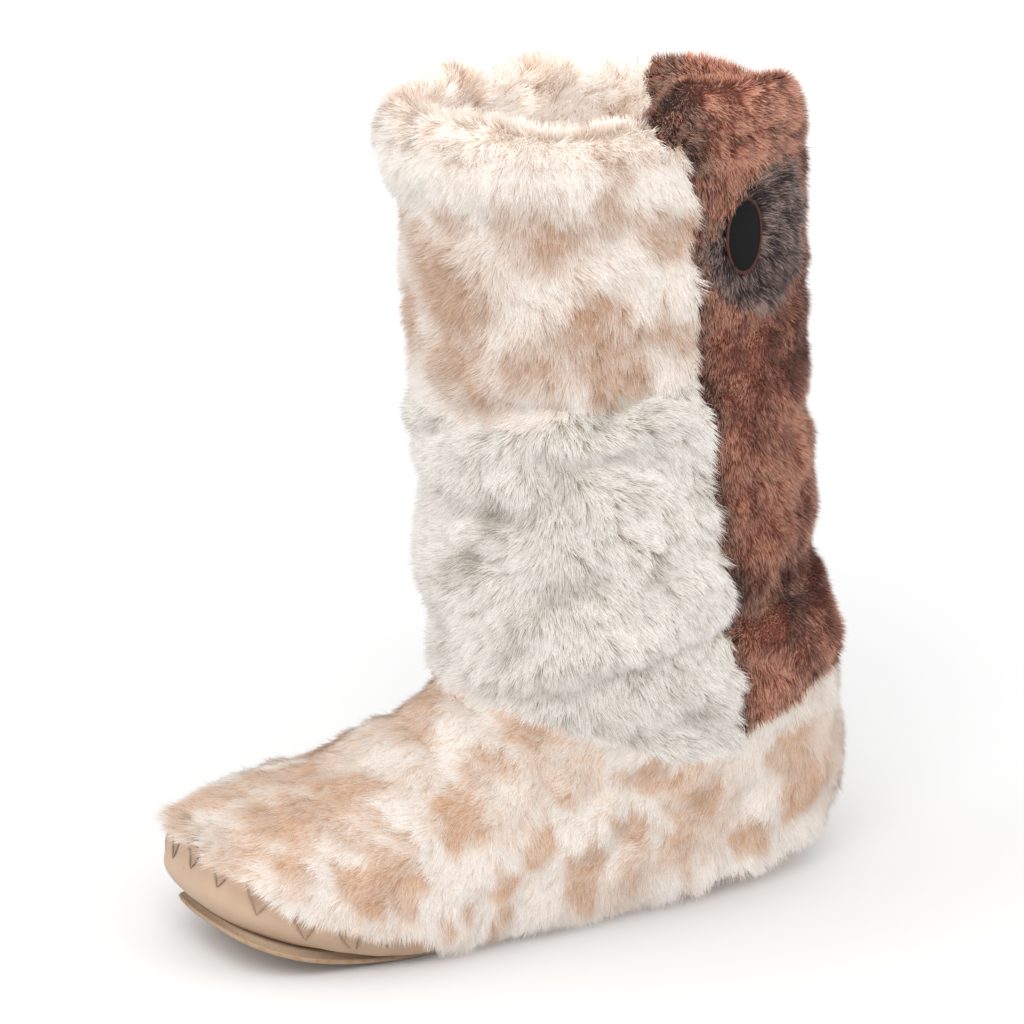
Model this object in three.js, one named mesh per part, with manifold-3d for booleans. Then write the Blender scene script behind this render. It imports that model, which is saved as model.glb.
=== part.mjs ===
// A slipper boot of pieced long-pile fur on a moccasin sole: one left boot, standing empty on its sole.
// Millimetres. +X points to the toe, +Y to the outer side, +Z up. The origin is on the floor under the heel seat.
import * as THREE from "three";
import { mergeVertices } from "three/addons/utils/BufferGeometryUtils.js";
import Module from "manifold-3d";

const wasm = await Module();
wasm.setup();

// Sizes of the hide, the face that the pile stands on
const FOOT_LENGTH = 256;
const HEEL_BACK = -60;
const TOE_TIP = HEEL_BACK + FOOT_LENGTH;
const BALL_WIDTH = 94;
const HEEL_WIDTH = 80;
const INSTEP_HEIGHT = 80;
const ANKLE_FRONT = 88;
const TOE_SPRING = 22;
const SHAFT_DEPTH = 131;
const SHAFT_WIDTH = 112;
const SHAFT_MIDDLE = 24;
const SHAFT_LEAN = 8;
const BOOT_HEIGHT = 298;

// Thicknesses and gaps
const GAP = 0.3;
const WALL = 3;
const OUTSOLE = 4;
const TRAY_WALL = 2.2;
const INSOLE = 4;
const SEAT = OUTSOLE + TRAY_WALL + 2 * GAP;
const TRAY_RISE = 20;
const RIM_HEIGHT = BOOT_HEIGHT - 10;

// Pile: how far each fur stands off the hide, and how far the cuff rolls down inside the collar
const PILE = { foot: 9, front: 11.5, top: 10, back: 9.5 };
const TOE_PILE = 4;
const ROLL_PILE = 6;
const ROLL_DROP = 26;
const ROLL_RADIUS = 15;
const PATCH_ACROSS = 50;
const PATCH_PILE = 7.5;
const BADGE_WIDTH = 17.5;
const BADGE_HEIGHT = 28;
const BADGE_THICK = 1.6;

// Colours, roughness
const FINISH = {
  outsole: { color: 0xb9a283, roughness: 0.8 },
  leather: { color: 0xcdb294, roughness: 0.5 },
  fleece: { color: 0xe9dfd0, roughness: 0.95 },
  spotted: { color: 0xe6cfb8, roughness: 0.9 },
  frost: { color: 0xdcd9d2, roughness: 0.9 },
  russet: { color: 0x7a4a38, roughness: 0.9 },
  charcoal: { color: 0x57504d, roughness: 0.9 },
  badge: { color: 0x2b2b2e, roughness: 0.6 },
};

// Sections of the hide from the toe round the heel to the collar. Each is an oval between a low point and a top
// point on the boot's middle plane: outer and inner are its half widths, side shifts it, widest is the share of
// its height where it is broadest, and the two rounds are superellipse powers, 2 an ellipse and more a fuller corner.
const SECTION = ["topX", "topZ", "lowX", "lowZ", "outer", "inner", "side", "widest", "lowRound", "topRound"];
const ball = BALL_WIDTH / 2;
const heel = HEEL_WIDTH / 2;
const calf = SHAFT_WIDTH / 2;
const reach = SHAFT_DEPTH / 2;
const shaftAt = (share) => SHAFT_MIDDLE + SHAFT_LEAN * share;
const SECTIONS = [
  // toe tip
  [TOE_TIP, TOE_SPRING + 12, TOE_TIP, TOE_SPRING + 12, 0.5, 0.5, -5, 0.45, 2.4, 2],
  [TOE_TIP - 3.5, TOE_SPRING + 24, TOE_TIP - 2.5, TOE_SPRING + 2, 20, 20, -5, 0.45, 2.8, 2],
  [TOE_TIP - 14, TOE_SPRING + 30, TOE_TIP - 13, SEAT + 0.4 * TOE_SPRING, ball - 13, ball - 13, -4.5, 0.42, 3.4, 2],
  [TOE_TIP - 35, 55, TOE_TIP - 34, SEAT + 0.12 * TOE_SPRING, ball - 2.5, ball - 2.5, -3, 0.4, 4, 2],
  // ball, waist and instep
  [TOE_TIP - 64, 60.5, TOE_TIP - 68, SEAT, ball, ball, 0, 0.38, 4.5, 2],
  [ANKLE_FRONT + 21, INSTEP_HEIGHT - 10, 90, SEAT, ball - 1, ball - 2, 1, 0.37, 4.5, 2],
  [ANKLE_FRONT + 8, INSTEP_HEIGHT - 3, 45, SEAT, ball - 2, ball - 4, 1, 0.37, 4.5, 2],
  [ANKLE_FRONT + 3.5, INSTEP_HEIGHT, 5, SEAT, heel + 3.5, heel + 2, 0, 0.39, 4.5, 2.1],
  // heel seat and heel back, where the sections fan out from the front of the ankle
  [ANKLE_FRONT + 2, INSTEP_HEIGHT + 3, HEEL_BACK + 26, SEAT + 2.2, heel + 0.5, heel - 0.5, 0, 0.42, 3.6, 2.2],
  [ANKLE_FRONT + 1, INSTEP_HEIGHT + 6, HEEL_BACK + 5, 27, heel + 2.5, heel + 1.5, 0, 0.45, 2.8, 2.2],
  [ANKLE_FRONT, INSTEP_HEIGHT + 10, HEEL_BACK + 0.5, 52, heel + 5.5, heel + 4.5, 0, 0.48, 2.4, 2.2],
  [ANKLE_FRONT - 2, INSTEP_HEIGHT + 19, HEEL_BACK + 6, 80, calf - 5.5, calf - 6.5, 0, 0.5, 2.2, 2.2],
  // shaft and collar
  [ANKLE_FRONT - 1.5, 120, HEEL_BACK + 13.5, 113, calf - 1.5, calf - 2.5, 0, 0.5, 2.2, 2.2],
  [shaftAt(0.05) + reach, 163, shaftAt(0.05) - reach, 162, calf - 0.5, calf - 1, 0, 0.5, 2.2, 2.2],
  [shaftAt(0.55) + reach, 225, shaftAt(0.55) - reach, 223, calf + 0.5, calf, 0, 0.5, 2.2, 2.2],
  [shaftAt(1) + reach + 1, BOOT_HEIGHT, shaftAt(1) - reach - 1, BOOT_HEIGHT, calf + 1.5, calf + 1, 0, 0.5, 2.2, 2.2],
].map((row) => Object.fromEntries(SECTION.map((name, i) => [name, row[i]])));
const LAST = SECTIONS.length - 1;

// Where the forms are sampled: angles round a section, in degrees from its low point over the outer side,
// and stations along the sections, closer together at the toe, the ankle and the collar
const ANGLE_STEP = 18;
const ANGLES = Array.from({ length: 360 / ANGLE_STEP }, (_, i) => i * ANGLE_STEP);
const STATIONS = [
  0.4, 1, 1.5, 2, 2.5, 3, 4, 5, 6, 7, 8, 9, 10, 11, 11.5, 12, 13, 14, 14.5, 14.86, LAST,
];

// Folds of the slack fur, each a soft ridge, or a trough where lift is negative: its middle as an angle and a
// height, its half spread each way, how far it climbs towards the front, and its lift
const FOLD = ["angle", "height", "spread", "half", "climb", "lift"];
const FOLDS = [
  [180, 284, 130, 15, 0, 5],
  [130, 262, 100, 9, 0, -3],
  [20, 112, 75, 13, 6, 5],
  [20, 138, 70, 9, 4, -4],
  [110, 96, 55, 9, -10, 4.5],
  [112, 116, 45, 6, -12, -4],
  [115, 150, 60, 16, 10, 3.5],
  [168, 172, 26, 8, -8, -4.5],
  [250, 130, 70, 16, 8, 4],
  [250, 158, 60, 9, 8, -3],
].map((row) => Object.fromEntries(FOLD.map((name, i) => [name, row[i]])));

// Seams in the side view, as x and z: the ankle seam under the shaft furs, and the seam under the top fur
const ANKLE_SEAM = [[130, 92], [97, 91], [71, 80], [45, 72], [20, 68], [0, 70], [-22, 77], [-41, 82], [-90, 86]];
const TOP_SEAM = [[130, 193], [100, 194], [66, 200], [33, 206], [-90, 212]];
const OUTER_SEAM = [[2, 40], [4, 68], [13, 116], [19.5, 170], [26, 212], [30, 259], [31, 283], [40, 340]];
const INNER_SEAM = [[-34, 40], [-32, 68], [-24, 116], [-22, 170], [-19, 212], [-16, 283], [-16, 340]];
const HEM = [[230, 44], [196, 42], [192, 38], [176, 31], [160, 21], [133, 12], [109, 9], [-10, 9], [-48, 11], [-90, 14]];

const clamp = (value, low, high) => Math.min(Math.max(value, low), high);
const bell = (distance) => Math.exp(-distance * distance);

// Smooth table lookup: a cubic through the rows, with each row's slope that of its neighbours
function sectionAt(station) {
  const i = clamp(Math.floor(station), 0, LAST - 1);
  const t = station - i;
  const [before, from, to, after] = [-1, 0, 1, 2].map((k) => SECTIONS[clamp(i + k, 0, LAST)]);
  const blend = (name) => {
    const slopeFrom = (to[name] - before[name]) / 2;
    const slopeTo = (after[name] - from[name]) / 2;
    const step = 3 * t * t - 2 * t * t * t;
    return from[name] * (1 - step) + to[name] * step
      + slopeFrom * (t - 2 * t * t + t * t * t) + slopeTo * (t * t * t - t * t);
  };
  return Object.fromEntries(SECTION.map((name) => [name, blend(name)]));
}

// The hide: a superellipse in the plane of its section
function hide(angle, station) {
  const s = sectionAt(station);
  const along = Math.cos((angle * Math.PI) / 180);
  const across = Math.sin((angle * Math.PI) / 180);
  const round = along > 0 ? s.lowRound : s.topRound;
  const radius = (Math.abs(along) ** round + Math.abs(across) ** round) ** (-1 / round);
  const share = s.widest - (along > 0 ? s.widest : 1 - s.widest) * radius * along;
  const half = across > 0 ? s.outer : s.inner;
  return new THREE.Vector3(
    s.lowX + (s.topX - s.lowX) * share,
    s.side + half * radius * across,
    s.lowZ + (s.topZ - s.lowZ) * share,
  );
}

function outward(angle, station) {
  const [low, high] = [Math.max(station - 0.04, 0.02), Math.min(station + 0.04, LAST)];
  const alongBoot = hide(angle, high).sub(hide(angle, low));
  const round = hide(angle + 1, station).sub(hide(angle - 1, station));
  return alongBoot.cross(round).normalize();
}

function turn(from, to) {
  return ((to - from + 540) % 360) - 180;
}

// Height of the folds at a place on the hide
function folds(angle, z) {
  return FOLDS.reduce((sum, fold) => {
    const across = turn(fold.angle, angle) / fold.spread;
    const middle = fold.height + fold.climb * clamp(across, -1, 1);
    return sum + fold.lift * bell(across) * bell((z - middle) / fold.half);
  }, 0);
}

// Depth of a fur over the hide: full on the boot, thin at the toe, pinched in the crease at the front of the
// ankle and rounded over at the collar
function pileDepth(pile, angle, station, point) {
  const toe = clamp((TOE_TIP - 6 - point.x) / 25, 0, 1);
  const crease = 1 - 0.5 * bell(turn(180, angle) / 38) * bell((station - 8.6) / 1.5);
  const top = clamp((point.z - (BOOT_HEIGHT - ROLL_RADIUS)) / ROLL_RADIUS, 0, 1);
  const depth = (TOE_PILE + (pile - TOE_PILE) * toe) * crease + folds(angle, point.z);
  return (depth + WALL / 2) * Math.sqrt(1 - 0.95 * top * top) - WALL / 2;
}

function solidOf(geometry) {
  const bare = new THREE.BufferGeometry().setAttribute("position", geometry.getAttribute("position"));
  if (geometry.index) bare.setIndex(geometry.index);
  const merged = mergeVertices(bare, 1e-4);
  return new wasm.Manifold(new wasm.Mesh({
    numProp: 3,
    vertProperties: new Float32Array(merged.attributes.position.array),
    triVerts: new Uint32Array(merged.index.array),
  }));
}

// A closed solid from rings of points, closed by a fan at each end
function ringSolid(rings, start, end) {
  const count = rings[0].length;
  const points = [start, ...rings.flat(), end];
  const at = (ring, i) => 1 + ring * count + (i % count);
  const index = [];
  for (let i = 0; i < count; i++) {
    index.push(0, at(0, i), at(0, i + 1));
    for (let ring = 0; ring < rings.length - 1; ring++) {
      index.push(at(ring, i), at(ring + 1, i + 1), at(ring, i + 1));
      index.push(at(ring, i), at(ring + 1, i), at(ring + 1, i + 1));
    }
    index.push(points.length - 1, at(rings.length - 1, i + 1), at(rings.length - 1, i));
  }
  const geometry = new THREE.BufferGeometry().setFromPoints(points).setIndex(index);
  return solidOf(geometry);
}

// The whole boot as one closed solid, its surface at depthOf from the hide. Rise lifts its flat top.
function form(depthOf, rise = 0) {
  const rings = STATIONS.map((station) => ANGLES.map((angle) => {
    const point = hide(angle, station);
    const depth = depthOf(angle, station, point);
    const lifted = station === LAST ? rise : 0;
    return point.addScaledVector(outward(angle, station), depth).setZ(point.z + lifted);
  }));
  const tip = hide(0, 0);
  tip.x += depthOf(180, STATIONS[0], tip);
  const top = new THREE.Vector3(shaftAt(1), 0, BOOT_HEIGHT + rise);
  return ringSolid(rings, tip, top);
}

// A prism across the boot between two values of y, from an outline in the side view
function sidePrism(outline, [fromY, toY] = [-FOOT_LENGTH, FOOT_LENGTH]) {
  const shape = new THREE.Shape(outline.map(([x, z]) => new THREE.Vector2(x, z)));
  const geometry = new THREE.ExtrudeGeometry(shape, { depth: toY - fromY, bevelEnabled: false });
  geometry.rotateX(Math.PI / 2).translate(0, toY, 0);
  return solidOf(geometry);
}

// Everything under, over or behind a line in the side view, moved by a gap
const FAR = 500;
const shifted = (line, dx, dz) => line.map(([x, z]) => [x + dx, z + dz]);
const under = (line, by = 0) => sidePrism([...shifted(line, 0, by), [line.at(-1)[0], -FAR], [line[0][0], -FAR]]);
const over = (line, by = 0) => sidePrism([...shifted(line, 0, by), [line.at(-1)[0], FAR], [line[0][0], FAR]]);
const behind = (line, by, across) =>
  sidePrism([...shifted(line, by, 0), [-FAR, line.at(-1)[1]], [-FAR, line[0][1]]], across);
const level = (z) => [[FAR, z], [-FAR, z]];

// Height on a seam line at a given x
function onLine(line, x) {
  const i = clamp(line.findIndex((point) => point[0] <= x), 1, line.length - 1);
  const [[x0, z0], [x1, z1]] = [line[i - 1], line[i]];
  return z0 + ((z1 - z0) * (x - x0)) / (x1 - x0);
}

// The sole's middle line: flat at heel and forefoot, with a low arch and a sprung toe
const BALL_X = TOE_TIP - 74;
const ARCH_X = 52;
const ARCH_HALF = 40;
const ARCH_LIFT = 1.8;
function soleLift(x) {
  const spring = clamp((x - BALL_X) / (TOE_TIP - BALL_X), 0, 1);
  const arch = clamp((x - ARCH_X) / ARCH_HALF, -1, 1);
  return 0.72 * TOE_SPRING * spring ** 2.2 + (ARCH_LIFT * (1 + Math.cos(Math.PI * arch))) / 2;
}
const liftLine = (height) =>
  [FAR, TOE_TIP, ...[188, 180, 170, 160, 148, 136, 122], -FAR].map((x) => [x, height + soleLift(clamp(x, -80, TOE_TIP))]);

// A body's largest piece, so that a sliver left by a cut is dropped
const largest = (solid) => solid.decompose().sort((a, b) => b.volume() - a.volume())[0];
const union = (solids) => solids.reduce((sum, solid) => sum.add(solid));

// Station where the hide at an angle crosses a side-view line, searched between two stations
function stationOn(line, angle, low, high) {
  for (let i = 0; i < 24; i++) {
    const middle = (low + high) / 2;
    const point = hide(angle, middle);
    if (point.z < onLine(line, point.x)) low = middle;
    else high = middle;
  }
  return low;
}

// A lock of pile: a three-sided wedge along knots given as angle, station and height over the hide
function lock(knots, width, thick) {
  const tip = knots.at(-1);
  const towards = hide(tip.angle, tip.station).sub(hide(knots[0].angle, knots[0].station)).normalize();
  const place = ({ angle, station, height }, side, drop) => {
    const out = outward(angle, station);
    const across = towards.clone().cross(out).normalize();
    return hide(angle, station).addScaledVector(out, height - drop).addScaledVector(across, side);
  };
  const rings = knots.slice(0, -1).map((knot, i) => {
    const side = width * (0.5 - 0.08 * i);
    return [place(knot, side, 0), place(knot, -side, 0), place(knot, 0, thick)];
  });
  const start = rings[0].reduce((sum, corner) => sum.add(corner), new THREE.Vector3()).divideScalar(3);
  return ringSolid(rings, start, place(tip, 0, thick / 2));
}

// A steady scatter between -1 and 1, so that locks differ from each other
const scatter = (i, seed) => 2 * ((Math.sin(i * 12.9898 + seed * 78.233) * 43758.5453) % 1);

// Locks that hang from a fur's lower edge over whatever lies below it
function hangingLocks(line, angles, [low, high], own, below, drop) {
  return angles.map((angle, i) => {
    const station = stationOn(line, angle, low, high);
    const longer = drop * (1 + 0.25 * scatter(i, 1));
    const depth = (at) => Math.max(pileDepth(own, angle, at, hide(angle, at)), 1);
    return lock([
      { angle, station: station + 0.28, height: depth(station + 0.28) - 0.5 },
      { angle: angle + 1.5 * scatter(i, 2), station: station - 0.35 * longer, height: below(angle, station) + 3.6 },
      { angle: angle + 3 * scatter(i, 3), station: station - longer, height: below(angle, station - longer) + 2 },
    ], 11, 2.6);
  });
}

// Locks that stand off the pile along a row of the boot
function standingLocks(angles, station, pile, run, stand) {
  return angles.map((angle, i) => {
    const at = station + 0.12 * scatter(i, 4);
    const depth = pileDepth(pile, angle, at, hide(angle, at));
    return lock([
      { angle, station: at, height: depth - 0.6 },
      { angle: angle + 4 * scatter(i, 6), station: at - run, height: depth + stand },
    ], 12, 3.4);
  });
}

const sweep = (from, to, step) =>
  Array.from({ length: Math.round(Math.abs(to - from) / step) + 1 }, (_, i) => from + Math.sign(to - from) * i * step);

// Closed forms that the pieces are cut from
const hideForm = form(() => 0);
const clearForm = form(() => GAP);
const hollow = form(() => -WALL, 12);
const cavity = form(() => -WALL - GAP, 12);
const rollHollow = form((angle, station, point) => {
  const top = clamp((point.z - (BOOT_HEIGHT - ROLL_RADIUS)) / ROLL_RADIUS, 0, 1);
  return -WALL - 1 - (ROLL_PILE - 1) * Math.sqrt(1 - 0.95 * top * top);
}, 12);

// What the furs leave free: the foot and shaft up to the inside roll, the wall under the roll, and the opening
const rollFoot = BOOT_HEIGHT - ROLL_DROP;
const wallInRoll = clearForm.subtract(cavity).subtract(over(level(RIM_HEIGHT + GAP)));
const furCore = union([clearForm.subtract(over(level(rollFoot))), wallInRoll, rollHollow]);
const furSkin = (pile) => form((...place) => pileDepth(pile, ...place)).subtract(furCore);

// Outsole: a thin tread under the tray, its outline inset from the tray, with a stitched step round its side
const OUTLINE = ["x", "outer", "inner"];
const OUTSOLE_OUTLINE = [
  [-56, 0.5, 0.5], [-54, 12, 12], [-46, 24, 24], [-30, 31, 31], [0, 33, 32], [45, 33, 32], [90, 36, 36],
  [128, 39, 40], [155, 38.5, 40], [172, 36.5, 38], [184, 31.5, 33.5], [191, 23, 26.5], [194.5, 10, 15], [195.5, -3, 5],
].map((row) => Object.fromEntries(OUTLINE.map((name, i) => [name, row[i]])));
const STEP_DEPTH = 1.2;
const STEP_HEIGHT = 1.6;

function outsoleSolid() {
  const outer = new THREE.SplineCurve(OUTSOLE_OUTLINE.map((row) => new THREE.Vector2(row.x, row.outer)));
  const inner = new THREE.SplineCurve(OUTSOLE_OUTLINE.map((row) => new THREE.Vector2(row.x, -row.inner)));
  const stations = 26;
  const rings = Array.from({ length: stations + 1 }, (_, i) => {
    const left = outer.getPoint(i / stations);
    const right = inner.getPoint(i / stations);
    const corner = (edge, inwards, height) => {
      const inset = Math.min(inwards, Math.abs(left.y - right.y) * 0.2);
      const y = edge.y + Math.sign(right.y + left.y - 2 * edge.y) * inset;
      return new THREE.Vector3(edge.x, y, height + soleLift(edge.x));
    };
    return [
      corner(right, 0, STEP_HEIGHT), corner(right, STEP_DEPTH, STEP_HEIGHT), corner(right, STEP_DEPTH, OUTSOLE + 2),
      corner(left, STEP_DEPTH, OUTSOLE + 2), corner(left, STEP_DEPTH, STEP_HEIGHT), corner(left, 0, STEP_HEIGHT),
      corner(left, 0, 0), corner(right, 0, 0),
    ];
  });
  const middle = (ring) => ring.reduce((sum, p) => sum.add(p), new THREE.Vector3()).divideScalar(ring.length);
  const block = ringSolid(rings, middle(rings[0]), middle(rings.at(-1)));
  return largest(block.subtract(form(() => TRAY_WALL + 2 * GAP)));
}

// Tray: leather drawn up round the foot, and the board that the foot stands on inside it
const trayOuter = form(() => TRAY_WALL + GAP);
const tray = largest(trayOuter.subtract(clearForm).subtract(over(liftLine(SEAT + TRAY_RISE))));
const insole = largest(form(() => -GAP).subtract(over(liftLine(SEAT + INSOLE))));

// Upper: one hollow wall from the board to the collar, open at the top and underneath
const upper = largest(
  hideForm.subtract(hollow).subtract(under(liftLine(SEAT + INSOLE + GAP))).subtract(over(level(RIM_HEIGHT))),
);

// Furs, cut from the skins between the seams
const half = GAP / 2;
const outerSide = [0, FAR];
const innerSide = [-FAR, 0];
const backHalf = (by) => behind(OUTER_SEAM, by, outerSide).add(behind(INNER_SEAM, by, innerSide));
const trayClear = form(() => TRAY_WALL + 2 * GAP).subtract(over(liftLine(SEAT + TRAY_RISE + GAP)));
const outsole = outsoleSolid();

const footLocks = [
  ...hangingLocks(HEM, sweep(64, 180, 13), [0.6, 3.2], PILE.foot, () => TRAY_WALL, 0.3),
  ...hangingLocks(HEM, sweep(296, 192, 15), [0.6, 3.2], PILE.foot, () => TRAY_WALL, 0.3),
  ...standingLocks(sweep(112, 248, 34), 2.9, PILE.foot, 0.55, 3),
  ...standingLocks(sweep(100, 260, 32), 4.6, PILE.foot, 0.45, 3.5),
  ...standingLocks([92, 122, 238, 268], 6.6, PILE.foot, 0.5, 3.5),
  ...standingLocks([24, 52, 308, 336], 9.4, PILE.foot, 0.4, 3),
];
const furFoot = largest(union([
  furSkin(PILE.foot).subtract(under(HEM)),
  ...footLocks,
]).subtract(over(ANKLE_SEAM, -half)).subtract(trayClear));
const footClear = form((...place) => pileDepth(PILE.foot, ...place) + GAP).subtract(over(ANKLE_SEAM, half));

const overFoot = (angle, station) => pileDepth(PILE.foot, angle, station, hide(angle, station));
const frontLocks = [
  ...hangingLocks(ANKLE_SEAM, sweep(98, 168, 10), [8, 12], PILE.front, overFoot, 0.55),
  ...hangingLocks(ANKLE_SEAM, sweep(192, 300, 12), [8, 12], PILE.front, overFoot, 0.55),
  ...standingLocks(sweep(105, 300, 22), 12, PILE.front, 0.28, 4),
  ...standingLocks(sweep(115, 300, 24), 13, PILE.front, 0.28, 4),
];
const furFront = largest(union([
  furSkin(PILE.front).subtract(under(ANKLE_SEAM, half)),
  ...frontLocks,
]).subtract(over(TOP_SEAM, -half)).subtract(backHalf(half)).subtract(footClear));
const frontClear = form((...place) => pileDepth(PILE.front, ...place) + GAP).subtract(over(TOP_SEAM, half));

const overFront = (angle, station) => pileDepth(PILE.front, angle, station, hide(angle, station));
const topLocks = [
  ...hangingLocks(TOP_SEAM, sweep(104, 300, 14), [12, 14.6], PILE.top, overFront, 0.16),
  ...standingLocks(sweep(106, 296, 19), 14.35, PILE.top, 0.2, 3.5),
  ...standingLocks(sweep(100, 304, 15), 14.86, PILE.top, 0.1, 4),
];
const furTop = largest(union([
  furSkin(PILE.top).subtract(under(TOP_SEAM, half)),
  ...topLocks,
]).subtract(backHalf(half)).subtract(frontClear));

// Back fur with the round patch and its badge let into it
const PATCH_ANGLE = 66;
const PATCH_HEIGHT = 256;
const BADGE_ANGLE = 71.5;
const backLocks = [
  ...hangingLocks(ANKLE_SEAM, [...sweep(-34, 78, 11)], [8, 12], PILE.back, overFoot, 0.5),
  ...standingLocks(sweep(-30, 74, 17), 12.2, PILE.back, 0.25, 3.5),
  ...standingLocks(sweep(-24, 76, 20), 13, PILE.back, 0.25, 3.5),
  ...standingLocks(sweep(-30, 30, 15), 14.1, PILE.back, 0.22, 3.5),
  ...standingLocks(sweep(-34, 78, 15), 14.88, PILE.back, 0.1, 4),
];

// A plug along the outward direction at a place on the shaft, its outline an oval of the given size
function plug(angle, height, width, tall, sides) {
  const station = stationOn(level(height), angle, 12, LAST);
  const centre = hide(angle, station);
  const out = outward(angle, station).setZ(0).normalize();
  const across = new THREE.Vector3(0, 0, 1).cross(out);
  const ring = (depth) => Array.from({ length: sides }, (_, i) => {
    const a = (-2 * Math.PI * i) / sides;
    return centre.clone().addScaledVector(out, depth)
      .addScaledVector(across, (width / 2) * Math.cos(a)).add(new THREE.Vector3(0, 0, (tall / 2) * Math.sin(a)));
  });
  const [near, far] = [-20, 30];
  const end = (depth) => centre.clone().addScaledVector(out, depth);
  return ringSolid([ring(near), ring(far)], end(near), end(far));
}
const patchPlug = (grow) => plug(PATCH_ANGLE, PATCH_HEIGHT, PATCH_ACROSS + grow, PATCH_ACROSS + grow, 20);
const badgePlug = (grow) => plug(BADGE_ANGLE, PATCH_HEIGHT, BADGE_WIDTH + grow, BADGE_HEIGHT + grow, 18);
const BADGE_BED = 4;
const patchSkin = form(() => PATCH_PILE).subtract(clearForm);
const badgePocket = badgePlug(2 * GAP).subtract(form(() => BADGE_BED));

const furBack = largest(union([
  furSkin(PILE.back).subtract(under(ANKLE_SEAM, half)),
  ...backLocks,
]).intersect(backHalf(-half)).subtract(footClear).subtract(patchPlug(0)));
const furPatch = largest(patchSkin.intersect(patchPlug(-2 * GAP)).subtract(badgePocket));
const badgeTop = form(() => BADGE_BED + GAP + BADGE_THICK);
const badge = largest(badgeTop.subtract(form(() => BADGE_BED + GAP)).intersect(badgePlug(0)));

// Meshes
function piece(name, solid, finish) {
  const mesh = solid.getMesh();
  const geometry = new THREE.BufferGeometry()
    .setAttribute("position", new THREE.BufferAttribute(new Float32Array(mesh.vertProperties), 3))
    .setIndex(new THREE.BufferAttribute(new Uint32Array(mesh.triVerts), 1));
  geometry.computeVertexNormals();
  const made = new THREE.Mesh(geometry, new THREE.MeshStandardMaterial({ ...FINISH[finish], metalness: 0 }));
  made.name = name;
  return made;
}

const boot = new THREE.Group();
boot.add(
  piece("outsole", outsole, "outsole"),
  piece("sole_tray", tray, "leather"),
  piece("insole", insole, "fleece"),
  piece("upper", upper, "fleece"),
  piece("fur_foot", furFoot, "spotted"),
  piece("fur_shaft_front", furFront, "frost"),
  piece("fur_shaft_top", furTop, "spotted"),
  piece("fur_shaft_back", furBack, "russet"),
  piece("fur_patch", furPatch, "charcoal"),
  piece("badge", badge, "badge"),
);

export default boot;
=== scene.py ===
"""Slipper boot of pieced long-pile fur on a moccasin sole: the looks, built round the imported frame.

Shapes are worked out in millimetres in the boot's own frame (+X to the toe, +Y to the outer side, +Z up,
the origin on the floor under the heel seat) and put into meshes in metres.
"""

import math

import bpy
import numpy as np
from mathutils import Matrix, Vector


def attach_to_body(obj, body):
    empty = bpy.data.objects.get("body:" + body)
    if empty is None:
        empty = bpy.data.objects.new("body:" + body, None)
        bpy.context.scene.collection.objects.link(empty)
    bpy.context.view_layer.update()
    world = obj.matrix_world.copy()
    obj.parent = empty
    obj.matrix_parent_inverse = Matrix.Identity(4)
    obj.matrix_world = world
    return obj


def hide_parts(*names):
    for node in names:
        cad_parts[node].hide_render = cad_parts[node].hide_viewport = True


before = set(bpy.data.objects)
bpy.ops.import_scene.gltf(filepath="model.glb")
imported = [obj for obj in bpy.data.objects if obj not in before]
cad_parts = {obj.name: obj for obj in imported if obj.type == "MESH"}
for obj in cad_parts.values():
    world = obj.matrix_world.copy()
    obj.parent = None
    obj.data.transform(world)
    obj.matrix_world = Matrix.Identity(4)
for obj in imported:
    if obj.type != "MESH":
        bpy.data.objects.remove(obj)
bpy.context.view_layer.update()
MM = 0.001
rng = np.random.default_rng(39)

# Sizes of the boot, as in the part's source
FOOT_LENGTH = 256.0
HEEL_BACK = -60.0
TOE_TIP = HEEL_BACK + FOOT_LENGTH
BALL = 47.0
HEEL = 40.0
CALF = 56.0
REACH = 65.5
INSTEP = 80.0
ANKLE = 88.0
SPRING = 22.0
BOOT_HEIGHT = 298.0
GAP = 0.3
WALL = 3.0
OUTSOLE = 4.0
TRAY_WALL = 2.2
INSOLE = 4.0
SEAT = OUTSOLE + TRAY_WALL + 2 * GAP
TRAY_RISE = 20.0
RIM = BOOT_HEIGHT - 10.0
SHAFT_MIDDLE = 24.0
SHAFT_FRONT = SHAFT_MIDDLE + REACH
SHAFT_BACK = SHAFT_MIDDLE - REACH
UPPER_RING = 224.0

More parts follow.
